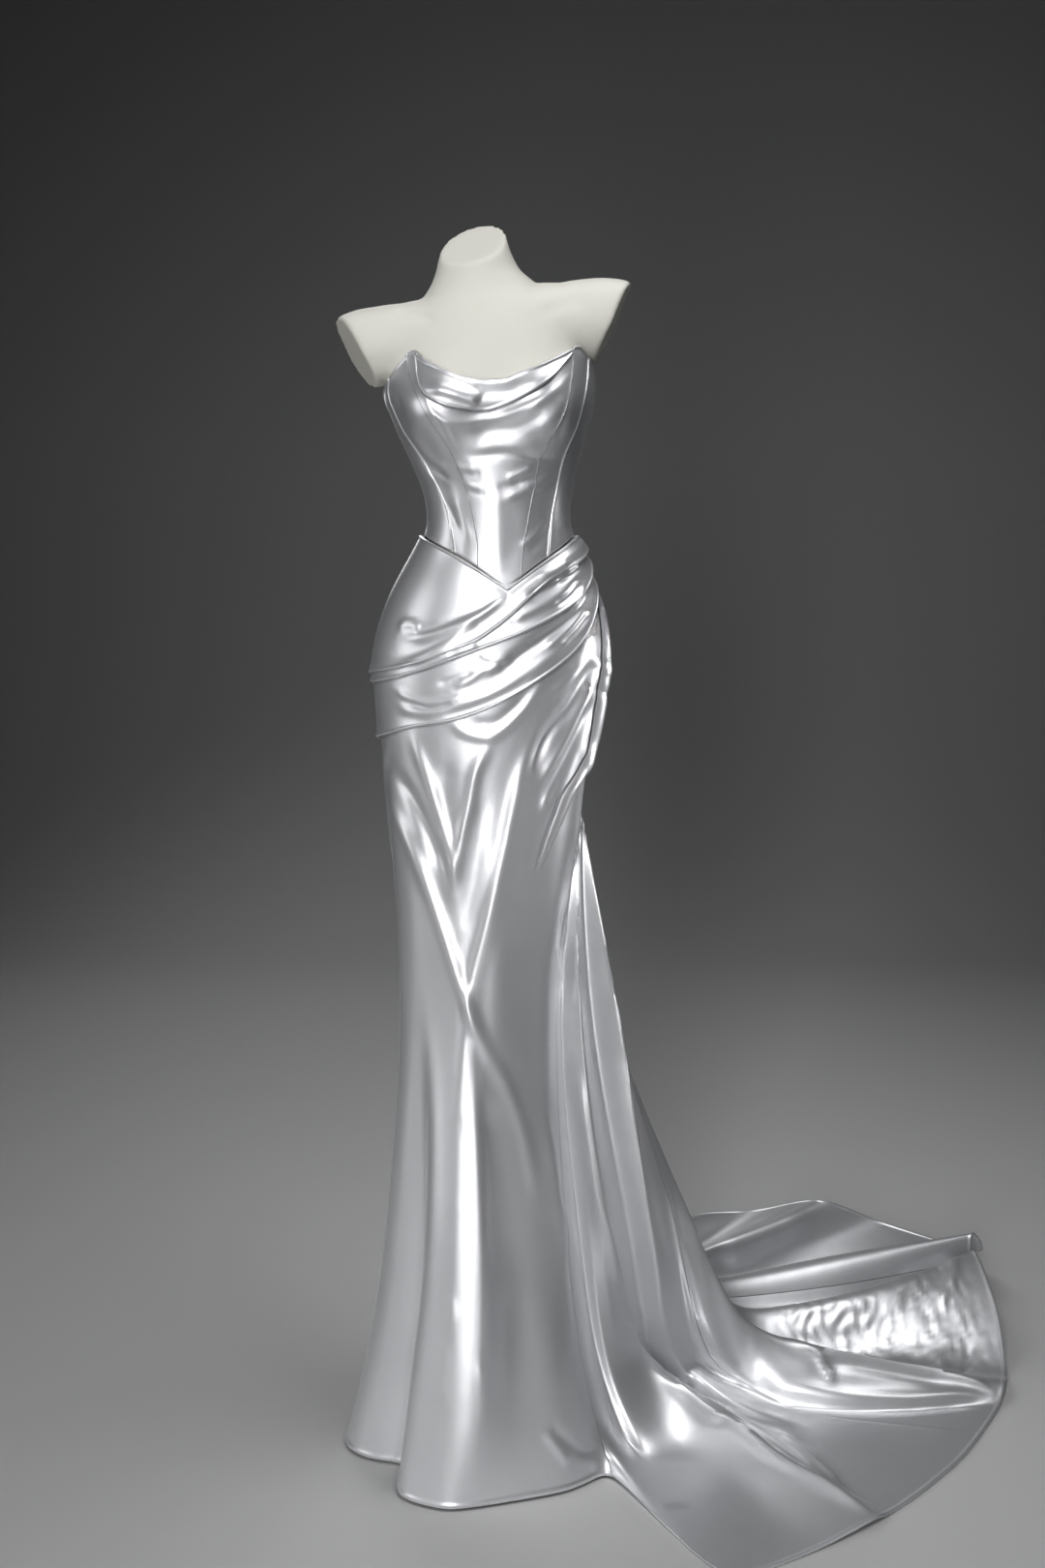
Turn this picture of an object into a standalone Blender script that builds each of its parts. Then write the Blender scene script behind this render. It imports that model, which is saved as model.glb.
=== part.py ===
"""A strapless satin mermaid gown with a swept train, worn by a limbless dress form on a pole stand.

The gown faces -Y. Heights are above the floor. The origin is the middle of the stand's base, on the floor.
Angles go round the body from its front: 0 is the centre front, 90 the gown's +X side, 180 the centre back.
"""

import math

import bmesh
import bpy
import numpy as np

# Driving dimensions, in metres.
CLOTH = 0.0015  # thickness of the satin with its underlayer
EASE = 0.0050  # room between the dress form and the inside of the bodice
SEAM_GAP = 0.0005  # between two pieces that are sewn edge to edge
LAP = 0.0022  # each hip pleat stands off what it lies on by this much
EDGE_LIFT = 0.0025  # a pleat's free edge stands off this much more
EDGE_WIDTH = 0.020  # the depth of that free edge
DRAPE_RISE = 0.006  # fullness of the draped fold at the neckline

SIDE_BACK_SEAM = 128.0  # angle of the bodice's side back seams
SEAM_CENTRE = 2.5  # the bodice's seams lie evenly about this angle
BASQUE_POINT = (9.5, 1.173)  # angle and height of the waist seam's point
BASQUE_SIDE_HEIGHT = 1.240  # the waist seam at the sides and the back

BASE_RADIUS, BASE_THICKNESS = 0.140, 0.012
POLE_RADIUS = 0.015
COLLAR_RADIUS, COLLAR_LENGTH = 0.026, 0.045

# The dress form, as level sections: height, centre, half width, front, back, squareness.
FORM_SECTIONS = (
    (0.955, -0.004, 0.1170, 0.078, 0.088, 2.2),
    (1.010, 0.000, 0.1320, 0.084, 0.102, 2.2),
    (1.065, 0.0025, 0.1365, 0.087, 0.107, 2.2),
    (1.118, 0.006, 0.1310, 0.085, 0.100, 2.2),
    (1.170, 0.010, 0.1170, 0.081, 0.089, 2.2),
    (1.210, 0.0125, 0.1030, 0.079, 0.082, 2.2),
    (1.252, 0.014, 0.0880, 0.081, 0.079, 2.2),
    (1.296, 0.0125, 0.0910, 0.084, 0.081, 2.2),
    (1.330, 0.009, 0.1010, 0.088, 0.085, 2.25),
    (1.375, 0.0055, 0.1175, 0.093, 0.090, 2.3),
    (1.416, 0.0035, 0.1290, 0.095, 0.092, 2.35),
    (1.455, 0.001, 0.1260, 0.089, 0.089, 2.3),
    (1.490, -0.002, 0.1150, 0.079, 0.083, 2.2),
    (1.520, -0.006, 0.0980, 0.066, 0.072, 2.1),
    (1.545, -0.010, 0.0740, 0.054, 0.060, 2.0),
    (1.565, -0.013, 0.0580, 0.048, 0.052, 2.0),
    (1.590, -0.016, 0.0470, 0.044, 0.045, 2.0),
    (1.660, -0.020, 0.0410, 0.041, 0.041, 2.0),
)
# The bust of the form: two mounds, either side of the centre front.
BUST = {"angle": 38.0, "height": 1.386, "rise": 0.022, "spread": 21.0, "above": 0.050, "below": 0.036}
# The arm stumps, as one level bar through the shoulders before it is trimmed.
ARM = {"height": 1.497, "half_height": 0.048, "half_depth": 0.050, "reach": 0.245, "sharpness": 8.0}
SHOULDER_TILT, SHOULDER_DROOP = 0.110, 0.12  # rise per metre towards +X, and fall per metre outwards
TILT_FROM, TILT_OVER, DROOP_FROM = 1.380, 0.090, 0.08
# Flat trims: the side (0 for the neck), the lowest height that is trimmed, a point on the cut and the way it
# faces.
FORM_TRIMS = (
    (0, 1.530, (-0.019, 0.0, 1.6065), (-0.25, -0.69, 1.0)),
    (-1, 1.395, (-0.171, 0.0, 1.470), (-0.83, -0.22, -0.51)),
    (1, 1.445, (0.1615, 0.0, 1.506), (0.89, -0.06, -0.45)),
)
ARM_FROM = 0.130  # the arms' trims take only faces that reach this far out

# The outside of the skirt over the hips, in the same columns.
SKIRT_SECTIONS = (
    (0.900, -0.0055, 0.1310, 0.094, 0.108, 2.2),
    (0.940, -0.005, 0.1355, 0.096, 0.114, 2.2),
    (1.010, 0.000, 0.1465, 0.098, 0.119, 2.2),
    (1.065, 0.0025, 0.1510, 0.100, 0.123, 2.2),
    (1.118, 0.006, 0.1450, 0.099, 0.115, 2.2),
    (1.170, 0.010, 0.1295, 0.094, 0.103, 2.2),
    (1.210, 0.0125, 0.1130, 0.0905, 0.094, 2.2),
    (1.252, 0.014, 0.0940, 0.0870, 0.085, 2.2),
)

# The bodice's top edge, as angle and height.
TOP_EDGE = (
    (-180, 1.385), (-150, 1.388), (-125, 1.397), (-105, 1.410), (-90, 1.427), (-80, 1.441), (-71, 1.456),
    (-64, 1.466), (-54, 1.479), (-47, 1.469), (-38, 1.4565), (-28, 1.444), (-16, 1.433), (-3, 1.428),
    (10, 1.428), (22, 1.434), (34, 1.441), (45, 1.4495), (56, 1.459), (66, 1.466), (71, 1.459),
    (78, 1.4465), (86, 1.435), (96, 1.424), (110, 1.411), (125, 1.400), (150, 1.390), (180, 1.385),
)
# The two seams either side of the centre front, as height and angle.
PRINCESS_SEAM = (
    (1.170, 18.0), (1.215, 18.5), (1.255, 22.0), (1.300, 27.5), (1.345, 33.0), (1.390, 39.5), (1.420, 46.5),
    (1.445, 54.0), (1.476, 60.0),
)
# The seams beside them, as height, then the angle on the -X side and on the +X side.
SIDE_FRONT_SEAM = (
    (1.170, 39.0, 41.0), (1.215, 40.0, 40.5), (1.255, 45.5, 43.5), (1.300, 54.0, 49.0),
    (1.345, 63.0, 52.5), (1.400, 71.0, 58.0), (1.440, 74.5, 68.0), (1.474, 77.0, 80.0),
)
# The lower edge of the draped fold at the neckline, as angle and height.
DRAPE_EDGE = (
    (-50, 1.466), (-44, 1.436), (-36, 1.408), (-24, 1.393), (-4, 1.389),
    (10, 1.395), (24, 1.407), (36, 1.421), (46, 1.436), (57, 1.452),
)

# The free lower edges of the three hip pleats, from the top one down, as angle and height.
PLEAT_EDGES = {
    "hip_pleat_upper": (
        (-95, 1.058), (-60, 1.070), (-46, 1.078), (-30, 1.092), (-10, 1.107), (0, 1.119),
        (13, 1.138), (26, 1.161), (42, 1.185), (70, 1.208), (92, 1.223),
    ),
    "hip_pleat_middle": (
        (-95, 1.046), (-60, 1.058), (-46, 1.068), (-17, 1.090), (18, 1.114), (45, 1.140),
        (60, 1.160), (72, 1.180), (82, 1.197), (92, 1.206),
    ),
    "hip_pleat_lower": (
        (-95, 0.972), (-70, 0.984), (-48, 0.997), (-21, 1.008), (5, 1.026), (30, 1.053),
        (50, 1.084), (62, 1.112), (72, 1.142), (82, 1.168), (92, 1.182),
    ),
}
TUCK_SHARE, TUCK_LEAST = 0.10, 0.003  # how far a piece runs on under the pleat above it

# The folds of the skirt, in order round the body. Each row is a crest or a valley. Its columns are the angle
# on the hip, the angle on the thigh, then in millimetres the (x, y) at the knee and at the shin, and the
# (x, y, z) near the ankle, on the floor and at the hem.
MILLIMETRE = 0.001
KNEE_HEIGHT, SHIN_HEIGHT, THIGH_HEIGHT = 0.600, 0.300, 0.900
FOLDS = {
    "left_seam": (-95, -95, (-119.5, 10), (-141, 22), (-160, 26, 150), (-172, 30, 68), (-186, 34, 3)),
    "left_flute": (-76, -76, (-120.5, -30), (-143.5, -35), (-166, -42, 150), (-185, -47, 68), (-202, -50, 3)),
    "left_slope": (-62, -62, (-106, -55), (-121, -72), (-138, -80, 150), (-149, -87, 68), (-160, -93, 3)),
    "left_valley": (-50, -50, (-89, -68), (-81, -84), (-94, -95, 150), (-103, -100, 68), (-112, -104, 3)),
    "main_slope": (-38, -38, (-72, -80), (-87, -126), (-105, -150, 150), (-115, -163, 68), (-124, -173, 3)),
    "main_flute": (-18, -18, (-38, -94), (-43, -155), (-46, -186, 150), (-51, -200, 68), (-57, -209, 3)),
    "main_edge": (-8, -6, (-20, -96), (-4, -157), (-8, -188, 150), (-15, -201, 68), (-22, -205, 3)),
    "front_valley": (5, 6, (12, -93), (26, -104), (26, -152, 150), (25, -178, 68), (24, -193, 3)),
    "third_flute": (30, 28, (38, -76), (60, -90), (82, -136, 150), (88, -158, 68), (92, -172, 3)),
    "right_panel": (54, 46, (56, -62), (86, -74), (100, -122, 150), (107, -146, 68), (114, -160, 3)),
    "side_crest": (78, 66, (74, -48), (98, -60), (112, -106, 150), (122, -132, 68), (132, -147, 3)),
    "right_seam": (92, 92, (92, -18), (104, -46), (122, -76, 150), (143, -105, 60), (163, -128, 3)),
    "first_valley": (95, 93.5, (97, -8), (121, -10), (150, -30, 100), (190, -80, 10), (222, -238, 0)),
    "front_floor": (98, 95, (106, -14), (135, -20), (165, -34, 104), (228, -110, 2), (292, -352, 0)),
    "right_floor": (101, 96.5, (115, -20), (150, -27), (186, -8, 106), (286, -85, 0), (400, -298, 0)),
    "pinch_crest": (104, 98, (124, -24), (163, -28), (213, 45, 98), (342, -40, 36), (488, -240, 8)),
    "pinch_valley": (109, 100, (136, 16), (188, 20), (248, 85, 30), (374, -8, 0), (516, -216, 0)),
    "outer_crest": (115, 103, (178, -4), (225, 0), (268, 75, 60), (405, 0, 4), (565, -172, 0)),
    "outer_valley": (121, 109, (168, 50), (250, 55), (308, 88, 45), (455, 10, 0), (650, -80, 0)),
    "roll_front": (127, 115, (166, 66), (260, 66), (350, 72, 45), (515, 34, 4), (732, 46, 0)),
    "roll_crest": (134, 122, (160, 86), (277, 84), (378, 92, 110), (540, 88, 62), (752, 88, 18)),
    "roll_valley": (142, 132, (138, 98), (245, 130), (392, 170, 30), (560, 165, 2), (770, 140, 0)),
    "long_slope": (150, 141, (128, 108), (232, 150), (396, 196, 42), (570, 220, 40), (788, 255, 52)),
    "long_crest": (159, 151, (115, 118), (218, 172), (396, 228, 62), (580, 272, 80), (783, 386, 100)),
    "long_valley": (168, 162, (92, 106), (185, 175), (365, 290, 20), (575, 335, 2), (794, 420, 6)),
    "second_crest": (178, 174, (70, 120), (155, 215), (350, 335, 62), (590, 405, 84), (800, 455, 98)),
    "second_valley": (188, 186, (45, 106), (120, 210), (315, 395, 15), (545, 480, 2), (842, 505, 24)),
    "low_crest": (193, 191, (30, 110), (98, 217), (292, 402, 30), (480, 500, 32), (675, 595, 48)),
    "third_crest": (199, 198, (14, 117), (78, 228), (270, 405, 55), (420, 490, 80), (565, 575, 100)),
    "third_valley": (210, 210, (-18, 101), (35, 200), (190, 390, 15), (320, 520, 10), (460, 645, 45)),
    "last_crest": (222, 222, (-48, 105), (-5, 198), (100, 380, 45), (220, 500, 55), (345, 620, 55)),
    "back_floor": (236, 236, (-78, 85), (-50, 155), (-10, 290, 25), (60, 410, 2), (140, 530, 0)),
    "back_flute": (250, 250, (-102, 55), (-105, 105), (-115, 170, 50), (-120, 250, 2), (-100, 340, 0)),
}
# Each piece of the skirt runs from one seam to another: a fold's name, and a share of the way to the next.
SKIRT_PIECES = {
    "skirt_front": (("left_seam", 0), ("right_seam", 0)),
    "train_front_gore": (("right_seam", 0), ("outer_valley", 0.5)),
    "train_side_gore": (("outer_valley", 0.5), ("long_valley", 0.5)),
    "train_back_gore": (("long_valley", 0.5), ("last_crest", 0.5)),
    "skirt_back": (("last_crest", 0.5), ("left_seam", 0)),
}
# The rolled fold that falls from the gathers at the +X hip, down the side and then across the front. Its
# columns are the station down the skirt, the place past the side crest and the half width, both counted in
# folds, and the fullness.
CASCADE = (
    (0.10, 0.45, 0.22, 0.004), (0.60, 0.42, 0.28, 0.007), (1.20, 0.32, 0.30, 0.008),
    (1.80, 0.38, 0.30, 0.008), (2.35, 0.45, 0.30, 0.008), (2.65, 0.25, 0.30, 0.007),
    (2.85, -0.05, 0.28, 0.006), (3.05, -0.35, 0.24, 0.004), (3.20, -0.70, 0.18, 0.002),
    (3.32, -1.00, 0.10, 0.001),
)
SPANS_PER_FOLD = 2
# Stations down the skirt: three on the hip, one on the thigh, then the five columns of places above.
HIP_STATIONS = 3
ROWS = (0, 1, 2, 2.5, 3, 3.4, 3.7, 4, 4.35, 4.7, 5, 5.35, 5.7, 6, 6.5, 7, 7.5, 8)

SATIN = {"colour": (0.66, 0.66, 0.68), "roughness": 0.28, "metallic": 0.0}
FORM_SHELL = {"colour": (0.86, 0.85, 0.80), "roughness": 0.60, "metallic": 0.0}
STEEL = {"colour": (0.55, 0.55, 0.56), "roughness": 0.35, "metallic": 1.0}


def through(stations, values, at):
    """Values at the stations, joined by a monotone cubic that never passes beyond them."""
    x, y = np.asarray(stations, float), np.asarray(values, float)
    step = np.diff(x)
    slope = np.diff(y, axis=0) / step.reshape(-1, *[1] * (y.ndim - 1))
    before, after = slope[:-1], slope[1:]
    same_way = before * after > 0
    middle = np.where(same_way, 2 * before * after / np.where(same_way, before + after, 1.0), 0.0)
    tangent = np.concatenate([slope[:1], middle, slope[-1:]])
    at = np.clip(np.asarray(at, float), x[0], x[-1])
    cell = np.clip(np.searchsorted(x, at, side="right") - 1, 0, len(x) - 2)
    spread = (*at.shape, *[1] * (y.ndim - 1))
    width = step[cell].reshape(spread)
    u = ((at - x[cell]) / step[cell]).reshape(spread)
    return (
        (1 + 2 * u) * (1 - u) ** 2 * y[cell]
        + u * (1 - u) ** 2 * width * tangent[cell]
        + u * u * (3 - 2 * u) * y[cell + 1]
        + u * u * (u - 1) * width * tangent[cell + 1]
    )


def table(rows, at):
    """The second column of a two-column table, at a value of its first."""
    rows = np.asarray(rows, float)
    return through(rows[:, 0], rows[:, 1], at)


def smoothstep(value):
    value = np.clip(value, 0.0, 1.0)
    return value * value * (3 - 2 * value)


def section_radius(sections, angle, height):
    """(centre, radius) of a rounded level section, in a direction."""
    rows = np.asarray(sections, float)
    centre, half_width, front, back, power = np.moveaxis(through(rows[:, 0], rows[:, 1:], height), -1, 0)
    turn = np.radians(angle)
    depth = np.where(np.cos(turn) > 0, front, back)
    shape = np.abs(np.sin(turn) / half_width) ** power + np.abs(np.cos(turn) / depth) ** power
    return centre, shape ** (-1 / power)


def bust_rise(angle, height):
    up = height - BUST["height"]
    tall = np.where(up > 0, BUST["above"], BUST["below"])
    mounds = sum(np.exp(-(((angle - side * BUST["angle"]) / BUST["spread"]) ** 2)) for side in (-1, 1))
    return BUST["rise"] * mounds * np.exp(-((up / tall) ** 2))


def form_radius(angle, height):
    """(centre, radius) of the dress form, with its bust and its arm stumps."""
    centre, core = section_radius(FORM_SECTIONS, angle, height)
    core = core + bust_rise(angle, height)
    share = np.clip(1 - ((height - ARM["height"]) / ARM["half_height"]) ** 2, 0.0, 1.0)
    half_depth = np.maximum(ARM["half_depth"] * np.sqrt(share), 1e-6)
    turn = np.radians(angle)
    across, along = np.abs(np.cos(turn)) / half_depth, np.abs(np.sin(turn)) / ARM["reach"]
    arm = np.where(share > 0, (across**4 + along**4) ** -0.25, 0.0)
    power = ARM["sharpness"]
    return centre, (core**power + arm**power) ** (1 / power)


def placed(centre, radius, angle, height):
    """Points at a radius and an angle, with the shoulders' tilt and droop."""
    turn = np.radians(angle)
    x = centre + radius * np.sin(turn)
    y = -radius * np.cos(turn)
    share = smoothstep((height - TILT_FROM) / TILT_OVER)
    outwards = np.maximum(np.abs(x) - DROOP_FROM, 0.0)
    z = height + share * (SHOULDER_TILT * x - SHOULDER_DROOP * outwards)
    return np.stack(np.broadcast_arrays(x, y, z), axis=-1)


def bodice_point(angle, height):
    """The bodice's outside."""
    centre, radius = form_radius(angle, height)
    return placed(centre, radius + EASE + CLOTH, angle, height)


def hip_point(angle, height):
    """The skirt's outside over the hips."""
    centre, radius = section_radius(SKIRT_SECTIONS, angle, height)
    return placed(centre, radius, angle, height)


def inward(surface, u, v, step=0.01):
    """Unit normals of a surface of two values, the first running round the body and the second upwards."""
    round_body = surface(u + step, v) - surface(u - step, v)
    upwards = surface(u, v + step * 0.01) - surface(u, v - step * 0.01)
    normal = np.cross(upwards, round_body)
    return normal / np.linalg.norm(normal, axis=-1, keepdims=True)


def waist_seam(angle):
    """Height of the waist seam: a point at the front, level at the back."""
    point_angle, point_height = BASQUE_POINT
    turned = (np.asarray(angle, float) + 180) % 360 - 180
    reach = np.where(turned < point_angle, 90 + point_angle, 90 - point_angle)
    away = np.minimum(np.abs(turned - point_angle) / reach, 1.0)
    return point_height + (BASQUE_SIDE_HEIGHT - point_height) * np.sin(away * np.pi / 2)


def material_of(name, finish):
    material = bpy.data.materials.new(name)
    material.use_nodes = True
    shader = material.node_tree.nodes["Principled BSDF"]
    shader.inputs["Base Color"].default_value = (*finish["colour"], 1.0)
    shader.inputs["Roughness"].default_value = finish["roughness"]
    shader.inputs["Metallic"].default_value = finish["metallic"]
    return material


def object_of(name, bm, material):
    bmesh.ops.recalc_face_normals(bm, faces=bm.faces)
    mesh = bpy.data.meshes.new(name)
    bm.to_mesh(mesh)
    bm.free()
    mesh.shade_smooth()
    mesh.set_sharp_from_angle(angle=math.radians(40))
    mesh.materials.append(material)
    made = bpy.data.objects.new(name, mesh)
    bpy.context.scene.collection.objects.link(made)
    return made


def drawn_in(grid):
    """The grid with its first and last columns drawn in, square to the seam, by half the seam's gap."""
    grid = grid.copy()
    for edge, beside in ((0, 1), (-1, -2)):
        seam = np.gradient(grid[edge], axis=0)
        seam /= np.linalg.norm(seam, axis=-1, keepdims=True)
        way = grid[beside] - grid[edge]
        way -= np.sum(way * seam, axis=-1, keepdims=True) * seam
        grid[edge] += way / np.linalg.norm(way, axis=-1, keepdims=True) * SEAM_GAP / 2
    return grid


def cloth_piece(name, outside, normal, material):
    """A closed wall of cloth. Its outside is a grid of points: columns run round the body, rows downwards."""
    inside = outside + CLOTH * normal
    inside[..., 2] = np.maximum(inside[..., 2], 0.0)
    outside, inside = drawn_in(outside), drawn_in(inside)
    columns, rows = outside.shape[:2]
    bm = bmesh.new()
    out = [[bm.verts.new(p) for p in column] for column in outside]
    into = [[bm.verts.new(p) for p in column] for column in inside]
    for i in range(columns - 1):
        for j in range(rows - 1):
            bm.faces.new((out[i][j], out[i + 1][j], out[i + 1][j + 1], out[i][j + 1]))
            bm.faces.new((into[i][j], into[i][j + 1], into[i + 1][j + 1], into[i + 1][j]))
    ends = [((i, j), (i + 1, j)) for i in range(columns - 1) for j in (0, rows - 1)]
    ends += [((i, j), (i, j + 1)) for j in range(rows - 1) for i in (0, columns - 1)]
    for (i, j), (k, m) in ends:
        # Two triangles, split the same way on both sides of a seam, so that neighbours stay parallel.
        bm.faces.new((out[i][j], into[i][j], into[k][m]))
        bm.faces.new((out[i][j], into[k][m], out[k][m]))
    return object_of(name, bm, material)


def bodice_piece(name, angle, height, off, material):
    """A piece that lies on the bodice, its outside moved out by a distance."""
    normal = inward(bodice_point, angle, height)
    outside = bodice_point(angle, height) - np.asarray(off)[..., None] * normal
    cloth_piece(name, outside, normal, material)


def hip_piece(name, angle, height, off, material):
    """A piece that lies on the hips, its outside moved out by a distance."""
    normal = inward(hip_point, angle, height)
    outside = hip_point(angle, height) - np.asarray(off)[..., None] * normal
    cloth_piece(name, outside, normal, material)


def bodice_seam(kind, side):
    """A seam of the bodice, as a function that gives its angle at a height."""
    if kind == "princess":
        return lambda height: SEAM_CENTRE + side * table(PRINCESS_SEAM, height)
    if kind == "side_front":
        rows = [(height, left if side < 0 else right) for height, left, right in SIDE_FRONT_SEAM]
        return lambda height: SEAM_CENTRE + side * table(rows, height)
    fixed = SIDE_BACK_SEAM if kind == "side_back" else 180.0
    return lambda height: side * fixed + 0 * height


def make_bodice(satin):
    """Seven panels, between the waist seam and the top edge."""
    order = ("princess", "side_front", "side_back", "centre_back")
    panels = [("bodice_centre_front", ("princess", -1), ("princess", 1), 13)]
    for side, label in ((-1, "left"), (1, "right")):
        for part, near, far, columns in zip(("side_front", "side", "back"), order, order[1:], (5, 7, 5)):
            pair = ((near, side), (far, side))[::side]
            panels.append((f"bodice_{part}_{label}", *pair, columns))
    share = 1 - np.array([0, 0.05, 0.10, 0.15, 0.20, 0.26, 0.33, 0.41, 0.52, 0.65, 0.81, 1.0])
    for name, start, end, columns in panels:
        across, up = np.meshgrid(np.linspace(0, 1, columns), share, indexing="ij")
        first, last = bodice_seam(*start), bodice_seam(*end)
        height = np.full(across.shape, 1.3)
        for _ in range(15):
            angle = first(height) + across * (last(height) - first(height))
            low, high = waist_seam(angle) + SEAM_GAP / 2, table(TOP_EDGE, angle)
            height = low + up * (high - low)
        bodice_piece(name, angle, height, np.zeros(across.shape), satin)


def make_neckline_drape(satin):
    """The soft fold that hangs between the two points of the neckline, over the centre front."""
    first, last = DRAPE_EDGE[0][0], DRAPE_EDGE[-1][0]
    across, down = np.meshgrid(np.linspace(0, 1, 15), np.linspace(0, 1, 6), indexing="ij")
    angle = first + (last - first) * across
    top, low = table(TOP_EDGE, angle) - SEAM_GAP, table(DRAPE_EDGE, angle)
    fullness = DRAPE_RISE * np.sin(np.pi * across) * np.sin(0.75 * np.pi * down) ** 2
    bodice_piece("neckline_drape", angle, top + (low - top) * down, LAP + fullness, satin)


def make_placket(satin):
    """The strip that laps over the closing at the centre back."""
    half_width, top, bottom = 5.5, 1.384, 1.250
    angles = 180 + np.linspace(-half_width, half_width, 5)
    angle, height = np.meshgrid(angles, np.linspace(top, bottom, 7), indexing="ij")
    bodice_piece("back_placket", angle, height, np.full(angle.shape, LAP + SEAM_GAP * 2), satin)


def tucked_top(edge, above, angle):
    """Height to which a piece runs on under the pleat whose lower edge is given."""
    free = table(edge, angle)
    return free + TUCK_LEAST + TUCK_SHARE * (above - free)


def make_hip_pleats(satin):
    """Three pleats that wrap the hips. Each lies over the top of the next, and both side seams hold it."""
    left, right = FOLDS["left_seam"][0], FOLDS["right_seam"][0]
    across = np.append(np.linspace(left, right, 20), BASQUE_POINT[0])
    angle, down = np.meshgrid(np.sort(across), np.linspace(0, 1, 7), indexing="ij")
    top = waist_seam(angle) - SEAM_GAP / 2
    for place, (name, edge) in enumerate(PLEAT_EDGES.items()):
        low = table(edge, angle)
        height = top + (low - top) * down
        level = LAP * (len(PLEAT_EDGES) - place)
        if place == 0:
            level = level * smoothstep(down * 2)
        lift = EDGE_LIFT * smoothstep(1 - (height - low) / EDGE_WIDTH)
        hip_piece(name, angle, height, level + lift, satin)
        top = tucked_top(edge, top, angle)


def skirt_top(name, angle):
    """Height of the top of a skirt piece: the waist seam, or under the lowest hip pleat."""
    if name != "skirt_front":
        return waist_seam(angle) - SEAM_GAP / 2
    top = waist_seam(angle)
    for edge in PLEAT_EDGES.values():
        top = tucked_top(edge, top, angle)
    return top


def fold_lines(name):
    """Points down every fold, for the stations of one piece of the skirt, twice round the body."""
    lines = []
    for hip_angle, thigh_angle, knee, shin, *floor in FOLDS.values():
        top = float(skirt_top(name, hip_angle))
        share = np.arange(HIP_STATIONS + 1) / HIP_STATIONS
        height = top + (THIGH_HEIGHT - top) * share
        angle = hip_angle + (thigh_angle - hip_angle) * share**3
        leg = [(*np.multiply(at, MILLIMETRE), z) for at, z in ((knee, KNEE_HEIGHT), (shin, SHIN_HEIGHT))]
        ground = [(x, y, max(z, CLOTH)) for x, y, z in np.multiply(floor, MILLIMETRE)]
        lines.append([*hip_point(angle, height), *leg, *ground])
    return np.array(lines + lines + lines[:1], float)


def skirt_surface(lines, across, down):
    """Points of the skirt, at a place counted in folds and a place counted in stations."""
    near_folds = 4
    flat_across, flat_down = np.ravel(across), np.ravel(down)
    first = np.clip(np.floor(flat_across).astype(int) - 1, 0, len(lines) - near_folds)
    points = np.empty((len(flat_down), 3))
    for k, (fold, at) in enumerate(zip(first, flat_across - first)):
        columns = np.moveaxis(lines[fold : fold + near_folds], 1, 0)
        near = through(np.arange(lines.shape[1]), columns, flat_down[k])
        points[k] = through(np.arange(near_folds), near, at)
    return points.reshape(*np.shape(across), 3)


def skirt_piece(name, lines, across, down, off, material):
    """A piece that lies on the skirt, its outside moved out by a distance."""
    step = 0.02
    outside = skirt_surface(lines, across, down)
    round_body = skirt_surface(lines, across + step, down) - skirt_surface(lines, across - step, down)
    downwards = skirt_surface(lines, across, down + step) - skirt_surface(lines, across, down - step)
    normal = np.cross(round_body, downwards)
    normal /= np.linalg.norm(normal, axis=-1, keepdims=True)
    cloth_piece(name, outside - np.asarray(off)[..., None] * normal, normal, material)


def place_of(seam):
    """A seam's place, counted in folds from the second time round the body."""
    fold, share = seam
    names = list(FOLDS)
    return names.index(fold) + len(names) + share


def make_skirt(satin):
    """The front, the gores of the train and the back, all cut from one set of folds."""
    for name, (first, last) in SKIRT_PIECES.items():
        begin, end = place_of(first), place_of(last)
        if end < begin:
            begin -= len(FOLDS)
        columns = np.linspace(begin, end, round((end - begin) * SPANS_PER_FOLD) + 1)
        across, down = np.meshgrid(columns, ROWS, indexing="ij")
        skirt_piece(name, fold_lines(name), across, down, np.zeros(across.shape), satin)


def make_cascade(satin):
    """The rolled fold down the front, at the +X side."""
    rows = np.asarray(CASCADE, float)
    side, down = np.meshgrid(np.linspace(-1, 1, 6), np.linspace(rows[0, 0], rows[-1, 0], 20), indexing="ij")
    middle, half, rise = np.moveaxis(through(rows[:, 0], rows[:, 1:], down), -1, 0)
    across = place_of(("side_crest", 0)) + middle + side * half
    off = LAP + rise * (1 - side**2)
    skirt_piece("front_cascade", fold_lines("skirt_front"), across, down, off, satin)


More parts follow.
